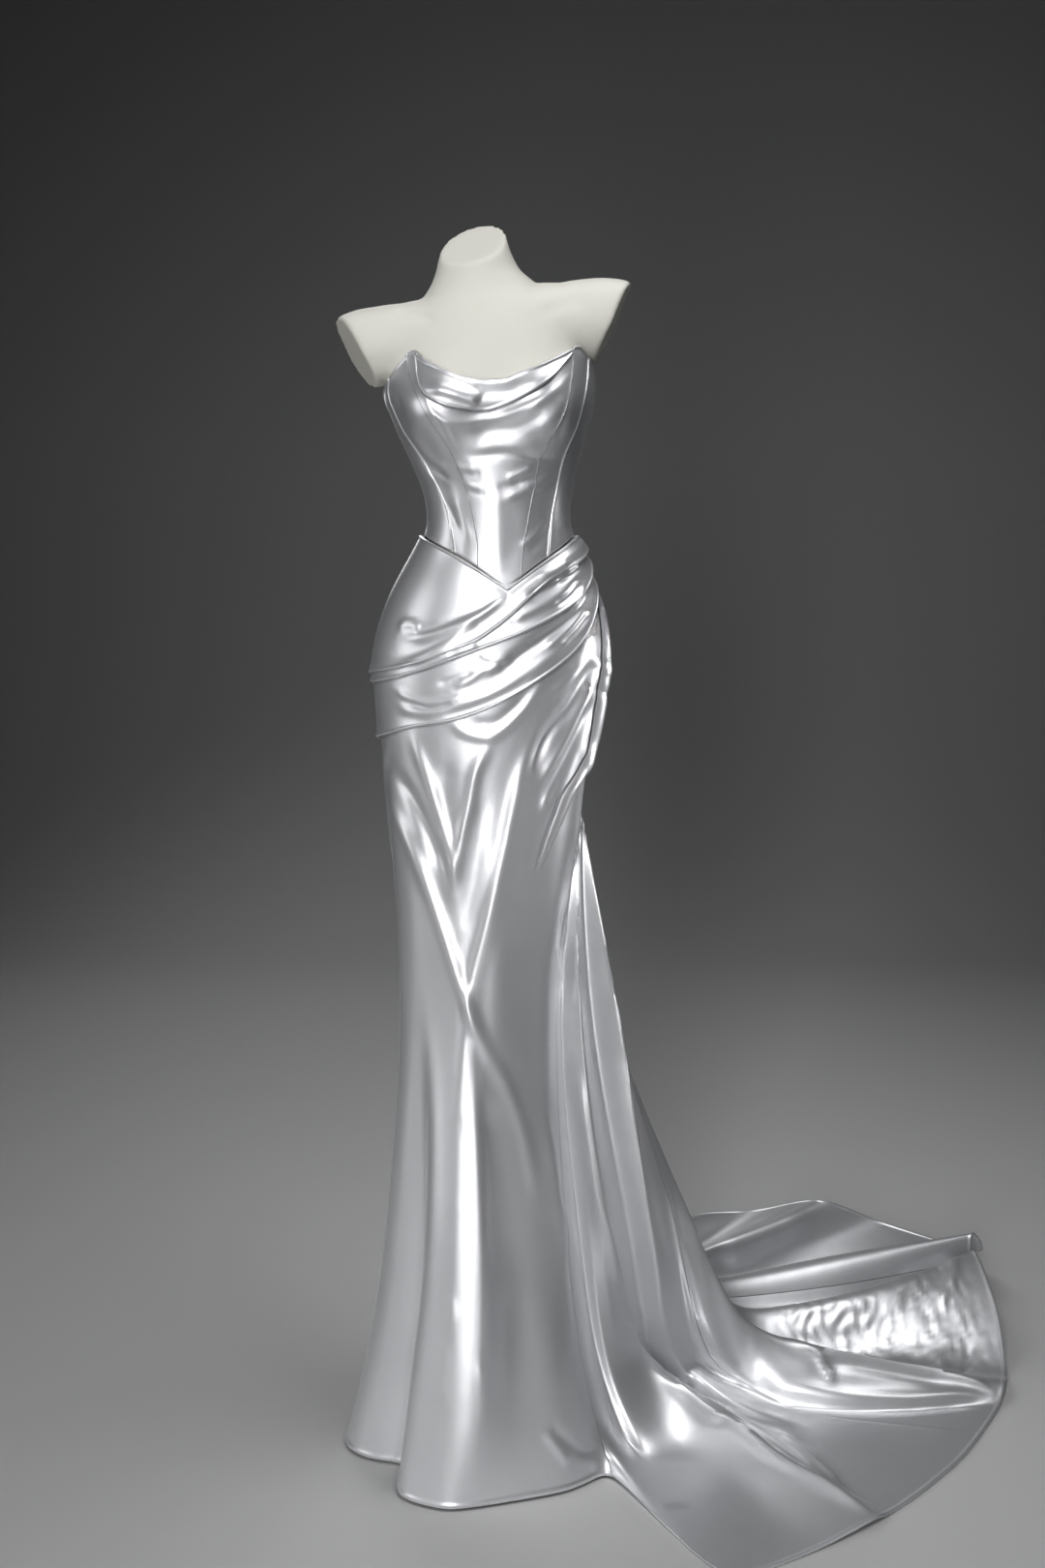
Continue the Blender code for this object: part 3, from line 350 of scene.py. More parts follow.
TRAIN_CREASES = (
    ((5, 13), 8.0, (211, 43), (239, 15), (272, 1), (308, -29), (335, -41), (359, -73), (398, -127),
     (437, -164), (474, -204), (500, -230)),
    (8, -8.0, (240, 32), (262, 22), (290, 6), (318, -18), (345, -34), (366, -58)),
    (8, 8.0, (396, -20), (418, -63), (445, -123), (476, -168)),
    (8, -6.0, (428, -48), (448, -88), (470, -150), (505, -196)),
    (6, -4.0, (250, 69), (277, 66), (294, 76), (308, 83), (350, 73), (374, 64)),
    (5, -4.0, (245, 36), (263, 60), (279, 71)),
    (6, -5.0, (374, 62), (407, 46), (450, 37), (513, 30), (598, 33), (675, 45), (725, 49)),
    ((8, 6), 6.0, (380, 78), (412, 62), (455, 52), (513, 45), (598, 48), (675, 58), (722, 60)),
    (6, 5.0, (405, 108), (442, 98), (482, 93), (548, 91), (608, 90), (664, 88), (709, 80), (728, 70)),
    (5, 4.0, (441, 92), (471, 84), (484, 70), (497, 55)),
    (7, -4.0, (470, 70), (520, 76), (600, 75), (680, 72)),
    (12, 3.0, (300, 60), (330, 40), (380, 20), (440, -10)),
    (4, 1.6, (221, -205), (254, -191)),
    (4, 1.6, (584, -102), (609, -114)),
    (9, 5.0, (375, 451), (451, 495), (556, 560)),
    (10, 3.0, (620, 100), (660, 130), (700, 190)),
    (9, -3.0, (660, 96), (700, 130), (735, 200)),
    (8, 3.0, (690, 250), (725, 300), (750, 370)),
    (9, -2.6, (640, 250), (690, 300), (720, 350)),
)
# How much of its height a crease keeps at its ends, the share of its length that an end takes, the steps from
# one of its points to the next, and how many half widths it reaches.
END_HEIGHT, CREASE_END, CREASE_STEPS, CREASE_REACH = 0.15, 0.22, 6, 3
# How soon creases fade as the cloth turns away from its side or from above, and the height below which the
# train's come in.
FACING, LYING = 2.5, 3
LAID_BELOW, LAID_FADE = 0.34, 0.15
# Where the satin is crumpled: the middle and the reach along x and y, in millimetres, and the height.
CRUMPLES = ((560, 190, 120, 75, 1.3), (690, 230, 70, 110, 1.3))


def cubic(x, y, tangent, at):
    """The cubic through the values y at the stations x, with the given tangents there."""
    at = np.clip(np.asarray(at, float), x[0], x[-1])
    cell = np.clip(np.searchsorted(x, at, side="right") - 1, 0, len(x) - 2)
    step = np.diff(x)[cell]
    spread = (*at.shape, *[1] * (y.ndim - 1))
    width = step.reshape(spread)
    u = ((at - x[cell]) / step).reshape(spread)
    return (
        (1 + 2 * u) * (1 - u) ** 2 * y[cell]
        + u * (1 - u) ** 2 * width * tangent[cell]
        + u * u * (3 - 2 * u) * y[cell + 1]
        + u * u * (u - 1) * width * tangent[cell + 1]
    )


def through(stations, values, at):
    """Values at the stations, joined by a monotone cubic that never passes beyond them."""
    x, y = np.asarray(stations, float), np.asarray(values, float)
    slope = np.diff(y, axis=0) / np.diff(x).reshape(-1, *[1] * (y.ndim - 1))
    before, after = slope[:-1], slope[1:]
    same_way = before * after > 0
    middle = np.where(same_way, 2 * before * after / np.where(same_way, before + after, 1.0), 0.0)
    return cubic(x, y, np.concatenate([slope[:1], middle, slope[-1:]]), at)


def spline(stations, values, at):
    """Values at the stations, joined by a smooth cubic through them (Catmull and Rom's)."""
    x, y = np.asarray(stations, float), np.asarray(values, float)
    return cubic(x, y, np.gradient(y, x, axis=0), at)


def table(rows, at):
    rows = np.asarray(rows, float)
    return through(rows[:, 0], rows[:, 1], at)


def smoothstep(value):
    value = np.clip(value, 0.0, 1.0)
    return value * value * (3 - 2 * value)


# ---------------- the surfaces of the body and of the cloth


def section_radius(sections, angle, height):
    rows = np.asarray(sections, float)
    centre, half_width, front, back, power = np.moveaxis(spline(rows[:, 0], rows[:, 1:], height), -1, 0)
    turn = np.radians(angle)
    facing = smoothstep(np.cos(turn) * DEPTH_TURN + 0.5)
    depth = back + (front - back) * facing
    shape = np.abs(np.sin(turn) / half_width) ** power + np.abs(np.cos(turn) / depth) ** power
    return centre, shape ** (-1 / power)


def bust_rise(angle, height):
    up = height - BUST["height"]
    tall = np.where(up > 0, BUST["above"], BUST["below"])
    mounds = sum(np.exp(-(((angle - side * BUST["angle"]) / BUST["spread"]) ** 2)) for side in (-1, 1))
    return BUST["rise"] * mounds * np.exp(-((up / tall) ** 2))


def form_radius(angle, height):
    centre, core = section_radius(FORM_SECTIONS, angle, height)
    core = core + bust_rise(angle, height)
    share = np.clip(1 - ((height - ARM["height"]) / ARM["half_height"]) ** 2, 0.0, 1.0)
    half_depth = np.maximum(ARM["half_depth"] * np.sqrt(share), 1e-6)
    turn = np.radians(angle)
    across, along = np.abs(np.cos(turn)) / half_depth, np.abs(np.sin(turn)) / ARM["reach"]
    arm = np.where(share > 0, (across**4 + along**4) ** -0.25, 0.0)
    power = ARM["sharpness"]
    return centre, (core**power + arm**power) ** (1 / power)


def shoulder_shift(x):
    """How far the shoulders' tilt and droop move a level line at x."""
    return SHOULDER_TILT * x - SHOULDER_DROOP * np.maximum(np.abs(x) - DROOP_FROM, 0.0)


def placed(centre, radius, angle, height):
    turn = np.radians(angle)
    x = centre + radius * np.sin(turn)
    y = -radius * np.cos(turn)
    z = height + smoothstep((height - TILT_FROM) / TILT_OVER) * shoulder_shift(x)
    return np.stack(np.broadcast_arrays(x, y, z), axis=-1)


def bodice_point(angle, height):
    centre, radius = form_radius(angle, height)
    return placed(centre, radius + EASE + CLOTH, angle, height)


def hip_point(angle, height):
    return placed(*section_radius(SKIRT_SECTIONS, angle, height), angle, height)


def waist_seam(angle):
    """The basque waist's height: lowest at its point, and rising like a quarter of a sine to either side."""
    point_angle, point_height = BASQUE_POINT
    turned = (np.asarray(angle, float) + 180) % 360 - 180
    reach = np.where(turned < point_angle, 90 + point_angle, 90 - point_angle)
    away = np.minimum(np.abs(turned - point_angle) / reach, 1.0)
    return point_height + (BASQUE_SIDE_HEIGHT - point_height) * np.sin(away * np.pi / 2)


# ---------------- grids, with columns round the body


def net(columns, rows):
    """The places of the columns and of the rows, each as a grid."""
    return np.meshgrid(columns, rows, indexing="ij")


def eased(count, finer):
    """From 0 to 1 in steps that get finer towards both ends, more so for a larger share."""
    even = np.linspace(0, 1, count)
    return even - finer * np.sin(2 * np.pi * even) / (2 * np.pi)


def normals_of(grid):
    """Unit outward normals of a grid of points."""
    normal = np.cross(np.gradient(grid, axis=1), np.gradient(grid, axis=0))
    return normal / np.maximum(np.linalg.norm(normal, axis=-1, keepdims=True), 1e-12)


def raised(grid, rise):
    """The grid moved out along its normals by a rise, one for all or one for each point."""
    return grid + np.asarray(rise)[..., None] * normals_of(grid)


def blurred(values, sigma, axis, cyclic=False):
    """Values smoothed along an axis, with sigma counted in steps. Open ends stay where they are."""
    reach = int(math.ceil(3 * sigma))
    weights = np.exp(-0.5 * (np.arange(-reach, reach + 1) / sigma) ** 2)
    weights /= weights.sum()
    values = np.moveaxis(values, axis, 0)
    if cyclic:
        padded = np.concatenate([values[-reach:], values, values[:reach]])
    else:
        before = 2 * values[:1] - values[reach:0:-1]
        after = 2 * values[-1:] - values[-2 : -reach - 2 : -1]
        padded = np.concatenate([before, values, after])
    count = len(values)
    total = sum(w * padded[k : k + count] for k, w in enumerate(weights))
    return np.moveaxis(total, 0, axis)


def crease_field(creases, x, z):
    """Height in metres that the creases give at places (x, z) in metres."""
    places = np.stack([np.ravel(x), np.ravel(z)], axis=1) / MILLIMETRE
    total = np.zeros(len(places))
    for width, height, *points in creases:
        to_left, to_right = width if isinstance(width, tuple) else (width, width)
        count = CREASE_STEPS * (len(points) - 1)
        line = spline(np.arange(len(points)), points, np.linspace(0, len(points) - 1, count + 1))
        reach = CREASE_REACH * max(to_left, to_right)
        inside = (places > line.min(0) - reach) & (places < line.max(0) + reach)
        near = np.where(inside.all(axis=1))[0]
        step = np.diff(line, axis=0)
        off = places[near, None] - line[:-1]
        share = np.clip((off * step).sum(-1) / (step**2).sum(-1), 0, 1)
        gone = ((off - share[..., None] * step) ** 2).sum(-1)
        closest = np.arange(len(near)), gone.argmin(axis=1)
        along = (closest[1] + share[closest]) / count
        turn = (step[:, 0] * off[..., 1] - step[:, 1] * off[..., 0])[closest]
        ends = smoothstep(along / CREASE_END) * smoothstep((1 - along) / CREASE_END)
        taper = ends * (1 - END_HEIGHT) + END_HEIGHT
        total[near] += height * taper * np.exp(-gone[closest] / np.where(turn > 0, to_left, to_right) ** 2)
    return total.reshape(np.shape(x)) * MILLIMETRE


def crease_rise(grid, creases, axis=1, sign=-1):
    """The rise that creases give to the side that faces along an axis, fading where the cloth turns away."""
    facing = smoothstep(sign * normals_of(grid)[..., axis] * FACING)
    return crease_field(creases, grid[..., 1 - axis], grid[..., 2]) * facing


def creased(grid, creases, axis=1, sign=-1):
    """The grid moved out by the creases of one side."""
    return raised(grid, crease_rise(grid, creases, axis, sign))


def covered(grid, creases, over, cover):
    """The front moved out by its own creases, but below those of the piece over it where it is covered."""
    own, above = crease_rise(grid, creases), crease_rise(grid, over)
    low = np.minimum(np.minimum(own, above), 0) - UNDER
    return raised(grid, own + (low - own) * cover)


def crumpled(x, y):
    """Height in metres of the small crossing creases at places (x, y) in metres."""
    x, y = x / MILLIMETRE, y / MILLIMETRE
    waves = np.sin(x / 5.6 + 2.1 * np.sin(y / 10.3) + 1.3 * np.sin(x / 19.0))
    waves = waves * np.sin(y / 5.9 + 1.9 * np.sin(x / 9.1 + 1.0) + 0.8 * np.sin(y / 23.0))
    reach = [h * np.exp(-(((x - a) / w) ** 4) - ((y - b) / d) ** 4) for a, b, w, d, h in CRUMPLES]
    return waves * np.max(reach, axis=0) * MILLIMETRE


def laid(grid):
    """The grid moved out by the creases of the train, where it is low and faces up."""
    x, y, z = np.moveaxis(grid, -1, 0)
    low = smoothstep((LAID_BELOW - z) / LAID_FADE) * smoothstep(normals_of(grid)[..., 2] * LYING)
    return raised(grid, (crease_field(TRAIN_CREASES, x, y) + crumpled(x, y)) * low)


def bead(away, place, width, height):
    """A rise in metres, from millimetres: highest at a place, and gone within about two widths of it."""
    return MILLIMETRE * height * np.exp(-(((away / MILLIMETRE - place) / width) ** 2))


def cord(away):
    """Rise of a corded seam at a distance from its edge."""
    return bead(away, 2.2, 1.1, 1.5) + bead(away, 0, 0.8, -1.0)


def groove(away):
    """The dip of a plain seam."""
    return bead(away, 0, 1.6, -0.4)


def rolled(away):
    """A turned edge, a little proud and rounded inwards."""
    return bead(away, 2.6, 1.9, 1.1) + bead(away, 0, 0.9, -1.2)


def hem(away):
    """A narrow turned hem that stands a little proud."""
    return bead(away, 4.0, 2.8, 1.2)


def edged(grid, first=None, last=None, top=None, bottom=None):
    """The grid with a finish along its edges: its first and last columns, and its top and bottom rows."""
    rise = np.zeros(grid.shape[:2])
    for axis, ends in ((0, (first, last)), (1, (top, bottom))):
        steps = np.linalg.norm(np.diff(grid, axis=axis), axis=-1)
        zero = np.zeros_like(np.take(steps, [0], axis=axis))
        away = np.cumsum(np.concatenate([zero, steps], axis=axis), axis=axis)
        for finish, distance in zip(ends, (away, np.take(away, [-1], axis=axis) - away)):
            if finish:
                rise += finish(distance)
    return raised(grid, rise)


def seam_gap(grid):
    """The grid drawn in by half a seam's gap at its first and last columns."""
    grid = grid.copy()
    for edge, beside in ((0, 1), (-1, -2)):
        way = grid[beside] - grid[edge]
        grid[edge] += way / np.maximum(np.linalg.norm(way, axis=-1, keepdims=True), 1e-9) * SEAM_GAP / 2
    return grid


# ---------------- objects


def new_object(name, data):
    made = bpy.data.objects.new(name, data)
    bpy.context.scene.collection.objects.link(made)
    return made


def read(items, field, kind, size=1):
    """A field of a mesh's items as an array, with a row for each item."""
    values = np.empty(len(items) * size, kind)
    items.foreach_get(field, values)
    return values.reshape(-1, size)


def cloth_uv(grid):
    """Places on the laid-out cloth, in metres: round the body and down it."""
    across = np.cumsum(np.linalg.norm(np.diff(grid, axis=0, prepend=grid[:1]), axis=-1), axis=0)
    down = np.cumsum(np.linalg.norm(np.diff(grid, axis=1, prepend=grid[:, :1]), axis=-1), axis=1)
    return np.stack([across.mean(axis=1, keepdims=True) + 0 * across, down], axis=-1).reshape(-1, 2)


def put_cloth(node, grid, on_floor=False):
    """Puts a thin wall of satin in a node's place. Its outside is the grid."""
    inside = raised(grid, -CLOTH)
    if on_floor:
        inside[..., 2] = np.maximum(inside[..., 2], 0.0)
    points = np.concatenate([grid, inside]).reshape(-1, 3)
    columns, rows = grid.shape[:2]
    back = columns * rows
    index = np.arange(back).reshape(columns, rows)
    a, b = index[:-1, :-1].ravel(), index[1:, :-1].ravel()
    c, d = index[1:, 1:].ravel(), index[:-1, 1:].ravel()
    faces = [np.stack([a, d, c, b], axis=1), np.stack([a, b, c, d], axis=1) + back]
    for edge, turn in ((index[:, 0], 1), (index[:, -1], -1), (index[0, :], -1), (index[-1, :], 1)):
        near, far = edge[:-1], edge[1:]
        faces.append(np.stack([near, far, far + back, near + back], axis=1)[:, ::turn])
    mesh = bpy.data.meshes.new(f"{node}_satin")
    mesh.from_pydata(points.tolist(), [], np.concatenate(faces).tolist())
    uv = np.tile(cloth_uv(grid), (2, 1)).astype(np.float32)[read(mesh.loops, "vertex_index", np.int32)]
    mesh.uv_layers.new(name="cloth").data.foreach_set("uv", uv.ravel())
    mesh.shade_smooth()
    mesh.set_sharp_from_angle(angle=math.radians(SHARP_ANGLE))
    mesh.materials.append(SATIN)
    mesh.update()
    made = new_object(f"{node}_satin", mesh)
    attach(made, "root")
    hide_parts(node)


# ---------------- materials


def new_material(name):
    material = bpy.data.materials.new(name)
    material.use_nodes = True
    tree = material.node_tree
    return material, tree, tree.nodes["Principled BSDF"]


def set_inputs(node, values):
    for name, value in values.items():
        node.inputs[name].default_value = value


def noise(tree, where, scale, detail=2.0):
    node = tree.nodes.new("ShaderNodeTexNoise")
    set_inputs(node, {"Scale": scale, "Detail": detail})
    tree.links.new(where, node.inputs["Vector"])
    return node.outputs["Fac"]


def tones(tree, value, dark, light):
    node = tree.nodes.new("ShaderNodeValToRGB")
    for element, colour in zip(node.color_ramp.elements, (dark, light)):
        element.color = (*colour, 1)
    tree.links.new(value, node.inputs["Fac"])
    return node.outputs["Color"]


def bump(tree, height, strength, distance):
    node = tree.nodes.new("ShaderNodeBump")
    set_inputs(node, {"Strength": strength, "Distance": distance})
    tree.links.new(height, node.inputs["Height"])
    return node


def satin_material():
    material, tree, shader = new_material("silver_satin")
    where = tree.nodes.new("ShaderNodeTexCoord").outputs
    # Slow unevenness of the cloth's tone.
    cloud = noise(tree, where["Object"], 9.0, 3.0)
    tone = tones(tree, cloud, (0.78, 0.785, 0.805), (0.86, 0.865, 0.88))
    tree.links.new(tone, shader.inputs["Base Color"])
    # The weave: fine threads along and across the cloth, then soft rumples.
    threads = tree.nodes.new("ShaderNodeTexWave")
    threads.bands_direction = "Y"
    set_inputs(threads, {"Scale": 260.0, "Distortion": 1.5})
    tree.links.new(where["UV"], threads.inputs["Vector"])
    fine = bump(tree, threads.outputs["Fac"], 0.05, 0.0002)
    soft = bump(tree, noise(tree, where["Object"], 26.0), 0.25, 0.002)
    tree.links.new(fine.outputs["Normal"], soft.inputs["Normal"])
    tree.links.new(soft.outputs["Normal"], shader.inputs["Normal"])
    set_inputs(shader, {"Metallic": 0.55, "Roughness": 0.40, "Sheen Weight": 0.15, "Sheen Roughness": 0.35})
    set_inputs(shader, {"Coat Weight": 0.6, "Coat Roughness": 0.22, "Coat IOR": 1.6})
    return material


def shell_material():
    material, tree, shader = new_material("ivory_shell")
    where = tree.nodes.new("ShaderNodeTexCoord").outputs["Object"]
    tone = tones(tree, noise(tree, where, 14.0, 4.0), (0.86, 0.85, 0.79), (0.91, 0.90, 0.85))
    grain = bump(tree, noise(tree, where, 900.0), 0.08, 0.0002)
    tree.links.new(tone, shader.inputs["Base Color"])
    tree.links.new(grain.outputs["Normal"], shader.inputs["Normal"])
    set_inputs(shader, {"Roughness": 0.55, "Specular IOR Level": 0.35})
    return material


def steel_material():
    material, tree, shader = new_material("brushed_steel")
    where = tree.nodes.new("ShaderNodeTexCoord").outputs["Object"]
    stretch = tree.nodes.new("ShaderNodeMapping")
    stretch.inputs["Scale"].default_value = (60, 60, 1500)
    tree.links.new(where, stretch.inputs["Vector"])
    tone = tree.nodes.new("ShaderNodeMapRange")
    set_inputs(tone, {"To Min": 0.25, "To Max": 0.42})
    tree.links.new(noise(tree, stretch.outputs["Vector"], 1.0), tone.inputs["Value"])
    tree.links.new(tone.outputs["Result"], shader.inputs["Roughness"])
    set_inputs(shader, {"Base Color": (0.55, 0.55, 0.56, 1), "Metallic": 1.0})
    return material


SATIN = satin_material()
SHELL = shell_material()
STEEL = steel_material()

# ---------------- the skirt and the train

FOLD_NAMES = list(FOLDS)
FOLD_COUNT = len(FOLD_NAMES)
# Columns from one fold to the next, and rows from one station to the next. The stations are four on the hips,
# the knee, the shin and the three places down to the hem.
FRONT_COLUMNS, TRAIN_COLUMNS, BACK_COLUMNS = 13, 11, 8
STATION_ROWS = (22, 22, 24, 58, 54, 36, 38, 46)
LAST_STATION = len(STATION_ROWS)
HEM_EASE = 1.6
# The first rows are set for the cord along the top, and the others start a gap below them.
CORD_ROWS, ROW_GAP = (0.0, 0.012, 0.022, 0.032, 0.042, 0.055), 0.01
# The stations where the fold lines settle, the flanks soften, and the skirt has left the body.
SETTLE_FROM = 5.0
SOFTEN_FROM, SOFTEN_OVER, SOFTEN_BY = 5.4, 1.2, 0.5
HIP_UNTIL, HIP_OVER = 3.2, 1.2
# Smoothing: round the body in folds, where flanks are crisp and where they are round, and down it in rows.
FINE_BLUR, BROAD_BLUR, DOWN_BLUR = 0.10, 0.30, 5.0
# How far each fold's flanks are flat, from 0, round, to 1, straight from crest to valley.
CRISP = {
    "left_seam": 0.1, "left_flute": 0.0, "left_slope": 0.0, "left_valley": 0.1, "main_slope": 0.0,
    "main_flute": 0.5, "main_edge": 0.7, "front_valley": 0.2, "third_flute": 0.0, "right_panel": 0.0,
    "side_crest": 0.2, "back_floor": 0.2, "back_flute": 0.1,
}
MOST_CRISP, CRISP_GAIN = 0.85, 1.2
# Columns and rows of the pleats and of the rolled fold.
PLEAT_NET, CASCADE_NET = (201, 52), (25, 220)
PLEAT_FINER = 0.75


def place_of(fold, share=0):
    """How far round the skirt a fold is, counted in folds."""
    return FOLD_NAMES.index(fold) + share


def fold_lines():
    """Points down every fold, for the stations of the skirt: [fold, station, xyz], and its hip angles."""
    lines, angles = [], []
    for hip_angle, thigh_angle, knee, shin, *floor in FOLDS.values():
        top = float(waist_seam(hip_angle)) - SEAM_GAP / 2
        share = np.arange(HIP_STATIONS + 1) / HIP_STATIONS
        height = top + (THIGH_HEIGHT - top) * share
        angle = hip_angle + (thigh_angle - hip_angle) * share**3
        leg = [(*np.multiply(at, MILLIMETRE), z) for at, z in ((knee, KNEE_HEIGHT), (shin, SHIN_HEIGHT))]
        ground = [(x, y, max(z, CLOTH)) for x, y, z in np.multiply(floor, MILLIMETRE)]
        lines.append([*hip_point(angle, height), *leg, *ground])
        angles.append(angle)
    return np.array(lines, float), np.array(angles, float)


def skirt_places():
    """How far round the skirt its columns are, in folds, and how far down it its rows are, in stations."""
    columns = np.full(FOLD_COUNT, FRONT_COLUMNS)
    columns[place_of("right_seam") :] = TRAIN_COLUMNS
    columns[place_of("third_valley") :] = BACK_COLUMNS
    across = np.concatenate([k + np.arange(n) / n for k, n in enumerate(columns)])
    down = [np.linspace(k, k + 1, n, endpoint=False) for k, n in enumerate(STATION_ROWS)]
    down = np.concatenate([*down, [LAST_STATION]])
    down = np.concatenate([CORD_ROWS, down[down > CORD_ROWS[-1] + ROW_GAP]])
    left = np.maximum(LAST_STATION - down, 0)
    return across, np.where(down > LAST_STATION - 1, LAST_STATION - left**HEM_EASE, down)


def skirt_grid(across, down):
    """The whole skirt as one closed grid round the body: [column, row, xyz]."""
    lines, angles = fold_lines()
    stations, by_station = np.arange(lines.shape[1]), np.moveaxis(lines, 1, 0)
    swung, tight = spline(stations, by_station, down), through(stations, by_station, down)
    rows = swung + (tight - swung) * smoothstep(down - SETTLE_FROM)[:, None, None]
    # The folds are taken three times round, so that the columns in the middle have no ends.
    folds = np.moveaxis(np.concatenate([rows, rows, rows], axis=1), 1, 0)
    order, place = np.arange(3 * FOLD_COUNT), across + FOLD_COUNT
    cell = np.floor(place).astype(int)
    share = (place - cell)[:, None, None]
    crisp = np.array([CRISP.get(name, MOST_CRISP) for name in FOLD_NAMES] * 3)[:, None, None]
    straight, crisp = (values[cell] * (1 - share) + values[cell + 1] * share for values in (folds, crisp))
    crisp = crisp * (1 - smoothstep((down - SOFTEN_FROM) / SOFTEN_OVER) * SOFTEN_BY)[None, :, None]
    gentle = 0.5 * (through(order, folds, place) + spline(order, folds, place))
    grid = gentle + (straight - gentle) * crisp
    # On the hips the skirt keeps to the body.
    on_hips = np.minimum(down, HIP_STATIONS)
    turns = np.concatenate([angles - 360, angles, angles + 360])
    angle = spline(order, through(np.arange(HIP_STATIONS + 1), turns.T, on_hips).T, place)
    top = waist_seam(angle) - SEAM_GAP / 2
    on_body = hip_point(angle, top + (THIGH_HEIGHT - top) * (on_hips / HIP_STATIONS))
    keep = np.where(down > HIP_STATIONS, 0.0, smoothstep((HIP_UNTIL - down) / HIP_OVER))
    grid = grid + (on_body - grid) * keep[None, :, None]
    fine = blurred(grid, FINE_BLUR * TRAIN_COLUMNS, 0, cyclic=True)
    broad = blurred(grid, BROAD_BLUR * FRONT_COLUMNS, 0, cyclic=True)
    return blurred(broad + (fine - broad) * np.clip(crisp * CRISP_GAIN, 0, 1), DOWN_BLUR, 1)


def skirt_surface(grid):
    """The skirt with its creases, which keep below those of the pleats where they cover it."""
    turn = np.degrees(np.arctan2(grid[..., 0], -grid[..., 1]))
    hidden = smoothstep((grid[..., 2] - table(PLEAT_EDGES["hip_pleat_lower"], turn)) / PLEAT_FADE)
    within = FOLDS["right_seam"][0] + SIDE_FADE - np.abs(turn - PLEATS_MIDDLE)
    grid = covered(grid, SKIRT_CREASES, HIP_CREASES, hidden * smoothstep(within / SIDE_FADE))
    for creases, axis, sign in ((BACK_CREASES, 1, 1), (SIDE_CREASES, 0, -1), (SIDE_CREASES, 0, 1)):
        grid = creased(grid, creases, axis, sign)
    grid = laid(grid)
    grid[..., 2] = np.maximum(grid[..., 2], CLOTH)
    return grid


ACROSS, DOWN = skirt_places()
SKIRT = skirt_surface(skirt_grid(ACROSS, DOWN))


def make_skirt():
    for name, seams in SKIRT_PIECES.items():
        begin, end = (int(np.abs(ACROSS - place_of(*seam)).argmin()) for seam in seams)
        if end < begin:
            end += len(ACROSS)
        panel = SKIRT[np.arange(begin, end + 1) % len(ACROSS)]
        panel = edged(panel, groove, groove, None if name == "skirt_front" else cord, hem)
        put_cloth(name, seam_gap(panel), on_floor=True)


def make_pleats():
    """Three pleats wrapped round the hips. Each one's top is tucked under the one above it."""
    left, right = FOLDS["left_seam"][0], FOLDS["right_seam"][0]
    across, down = net(np.linspace(0, 1, PLEAT_NET[0]), eased(PLEAT_NET[1], PLEAT_FINER))
    angle = left + (right - left) * across
    inner = smoothstep(across / PLEAT_END) * smoothstep((1 - across) / PLEAT_END)
    top = waist_seam(angle) - SEAM_GAP / 2
    for place, (name, edge) in enumerate(PLEAT_EDGES.items()):
        low = table(edge, angle)
        height = top + (low - top) * down
        level = LAP * (len(PLEAT_EDGES) - place)
        if place == 0:
            level = LAP + (level - LAP) * smoothstep(down * 2)
        free = smoothstep(1 - (height - low) / EDGE_WIDTH)
        lift = EDGE_LIFT * (END_LIFT + (1 - END_LIFT) * inner) * free
        base = hip_point(angle, height)
        grid = creased(raised(base, level + lift), HIP_CREASES)
        put_cloth(name, edged(grid, groove, groove, cord if place == 0 else None, rolled))
        top = low + TUCK_LEAST + TUCK_SHARE * (top - low)


def make_cascade():
    """The rolled fold that falls from the hip gathers across the front."""
    rows = np.asarray(CASCADE, float)
    first, last = rows[0, 0] + CASCADE_DROP, rows[-1, 0]
    side, down = net(np.linspace(-1, 1, CASCADE_NET[0]), np.linspace(first, last, CASCADE_NET[1]))
    middle, half, rise = np.moveaxis(spline(rows[:, 0], rows[:, 1:], down), -1, 0)
    column = np.interp(place_of("side_crest") + middle + side * half, ACROSS, np.arange(len(ACROSS)))
    row = np.interp(down, DOWN, np.arange(len(DOWN)))
    i, j = np.floor(column).astype(int), np.floor(row).astype(int)
    u, v = (column - i)[..., None], (row - j)[..., None]

    def pick(values):
        low = values[i, j] * (1 - u) + values[i + 1, j] * u
        high = values[i, j + 1] * (1 - u) + values[i + 1, j + 1] * u
        return low * (1 - v) + high * v

    off = LAP + rise * (1 - side**2)
    put_cloth("front_cascade", pick(SKIRT) + off[..., None] * pick(normals_of(SKIRT)))


make_skirt()
make_pleats()
make_cascade()

# ---------------- the bodice

CENTRE_COLUMNS, BODICE_ROWS = 84, 122
BODICE_MIDDLE, BODICE_TURNS = 1.3, 15
DRAPE_NET, PLACKET_NET = (150, 60), (13, 61)
PANEL_FINER, BODICE_FINER, DRAPE_FINER = 0.75, 0.7, 0.5
# The panels of one side: the seam nearer to the front and the one further round, each with its finish, and
# how many columns there are.
BODICE_PARTS = (
    ("side_front", ("princess", None), ("side_front", cord), 42),
    ("side", ("side_front", groove), ("side_back", groove), 40),
    ("back", ("side_back", groove), ("centre_back", groove), 34),
)


def seam_angle(kind, side, height):
    if kind == "princess":
        return SEAM_CENTRE + side * table(PRINCESS_SEAM, height)
    if kind == "side_front":
        rows = [(level, left if side < 0 else right) for level, left, right in SIDE_FRONT_SEAM]
        return SEAM_CENTRE + side * table(rows, height)
    return side * (SIDE_BACK_SEAM if kind == "side_back" else 180.0) + 0 * height


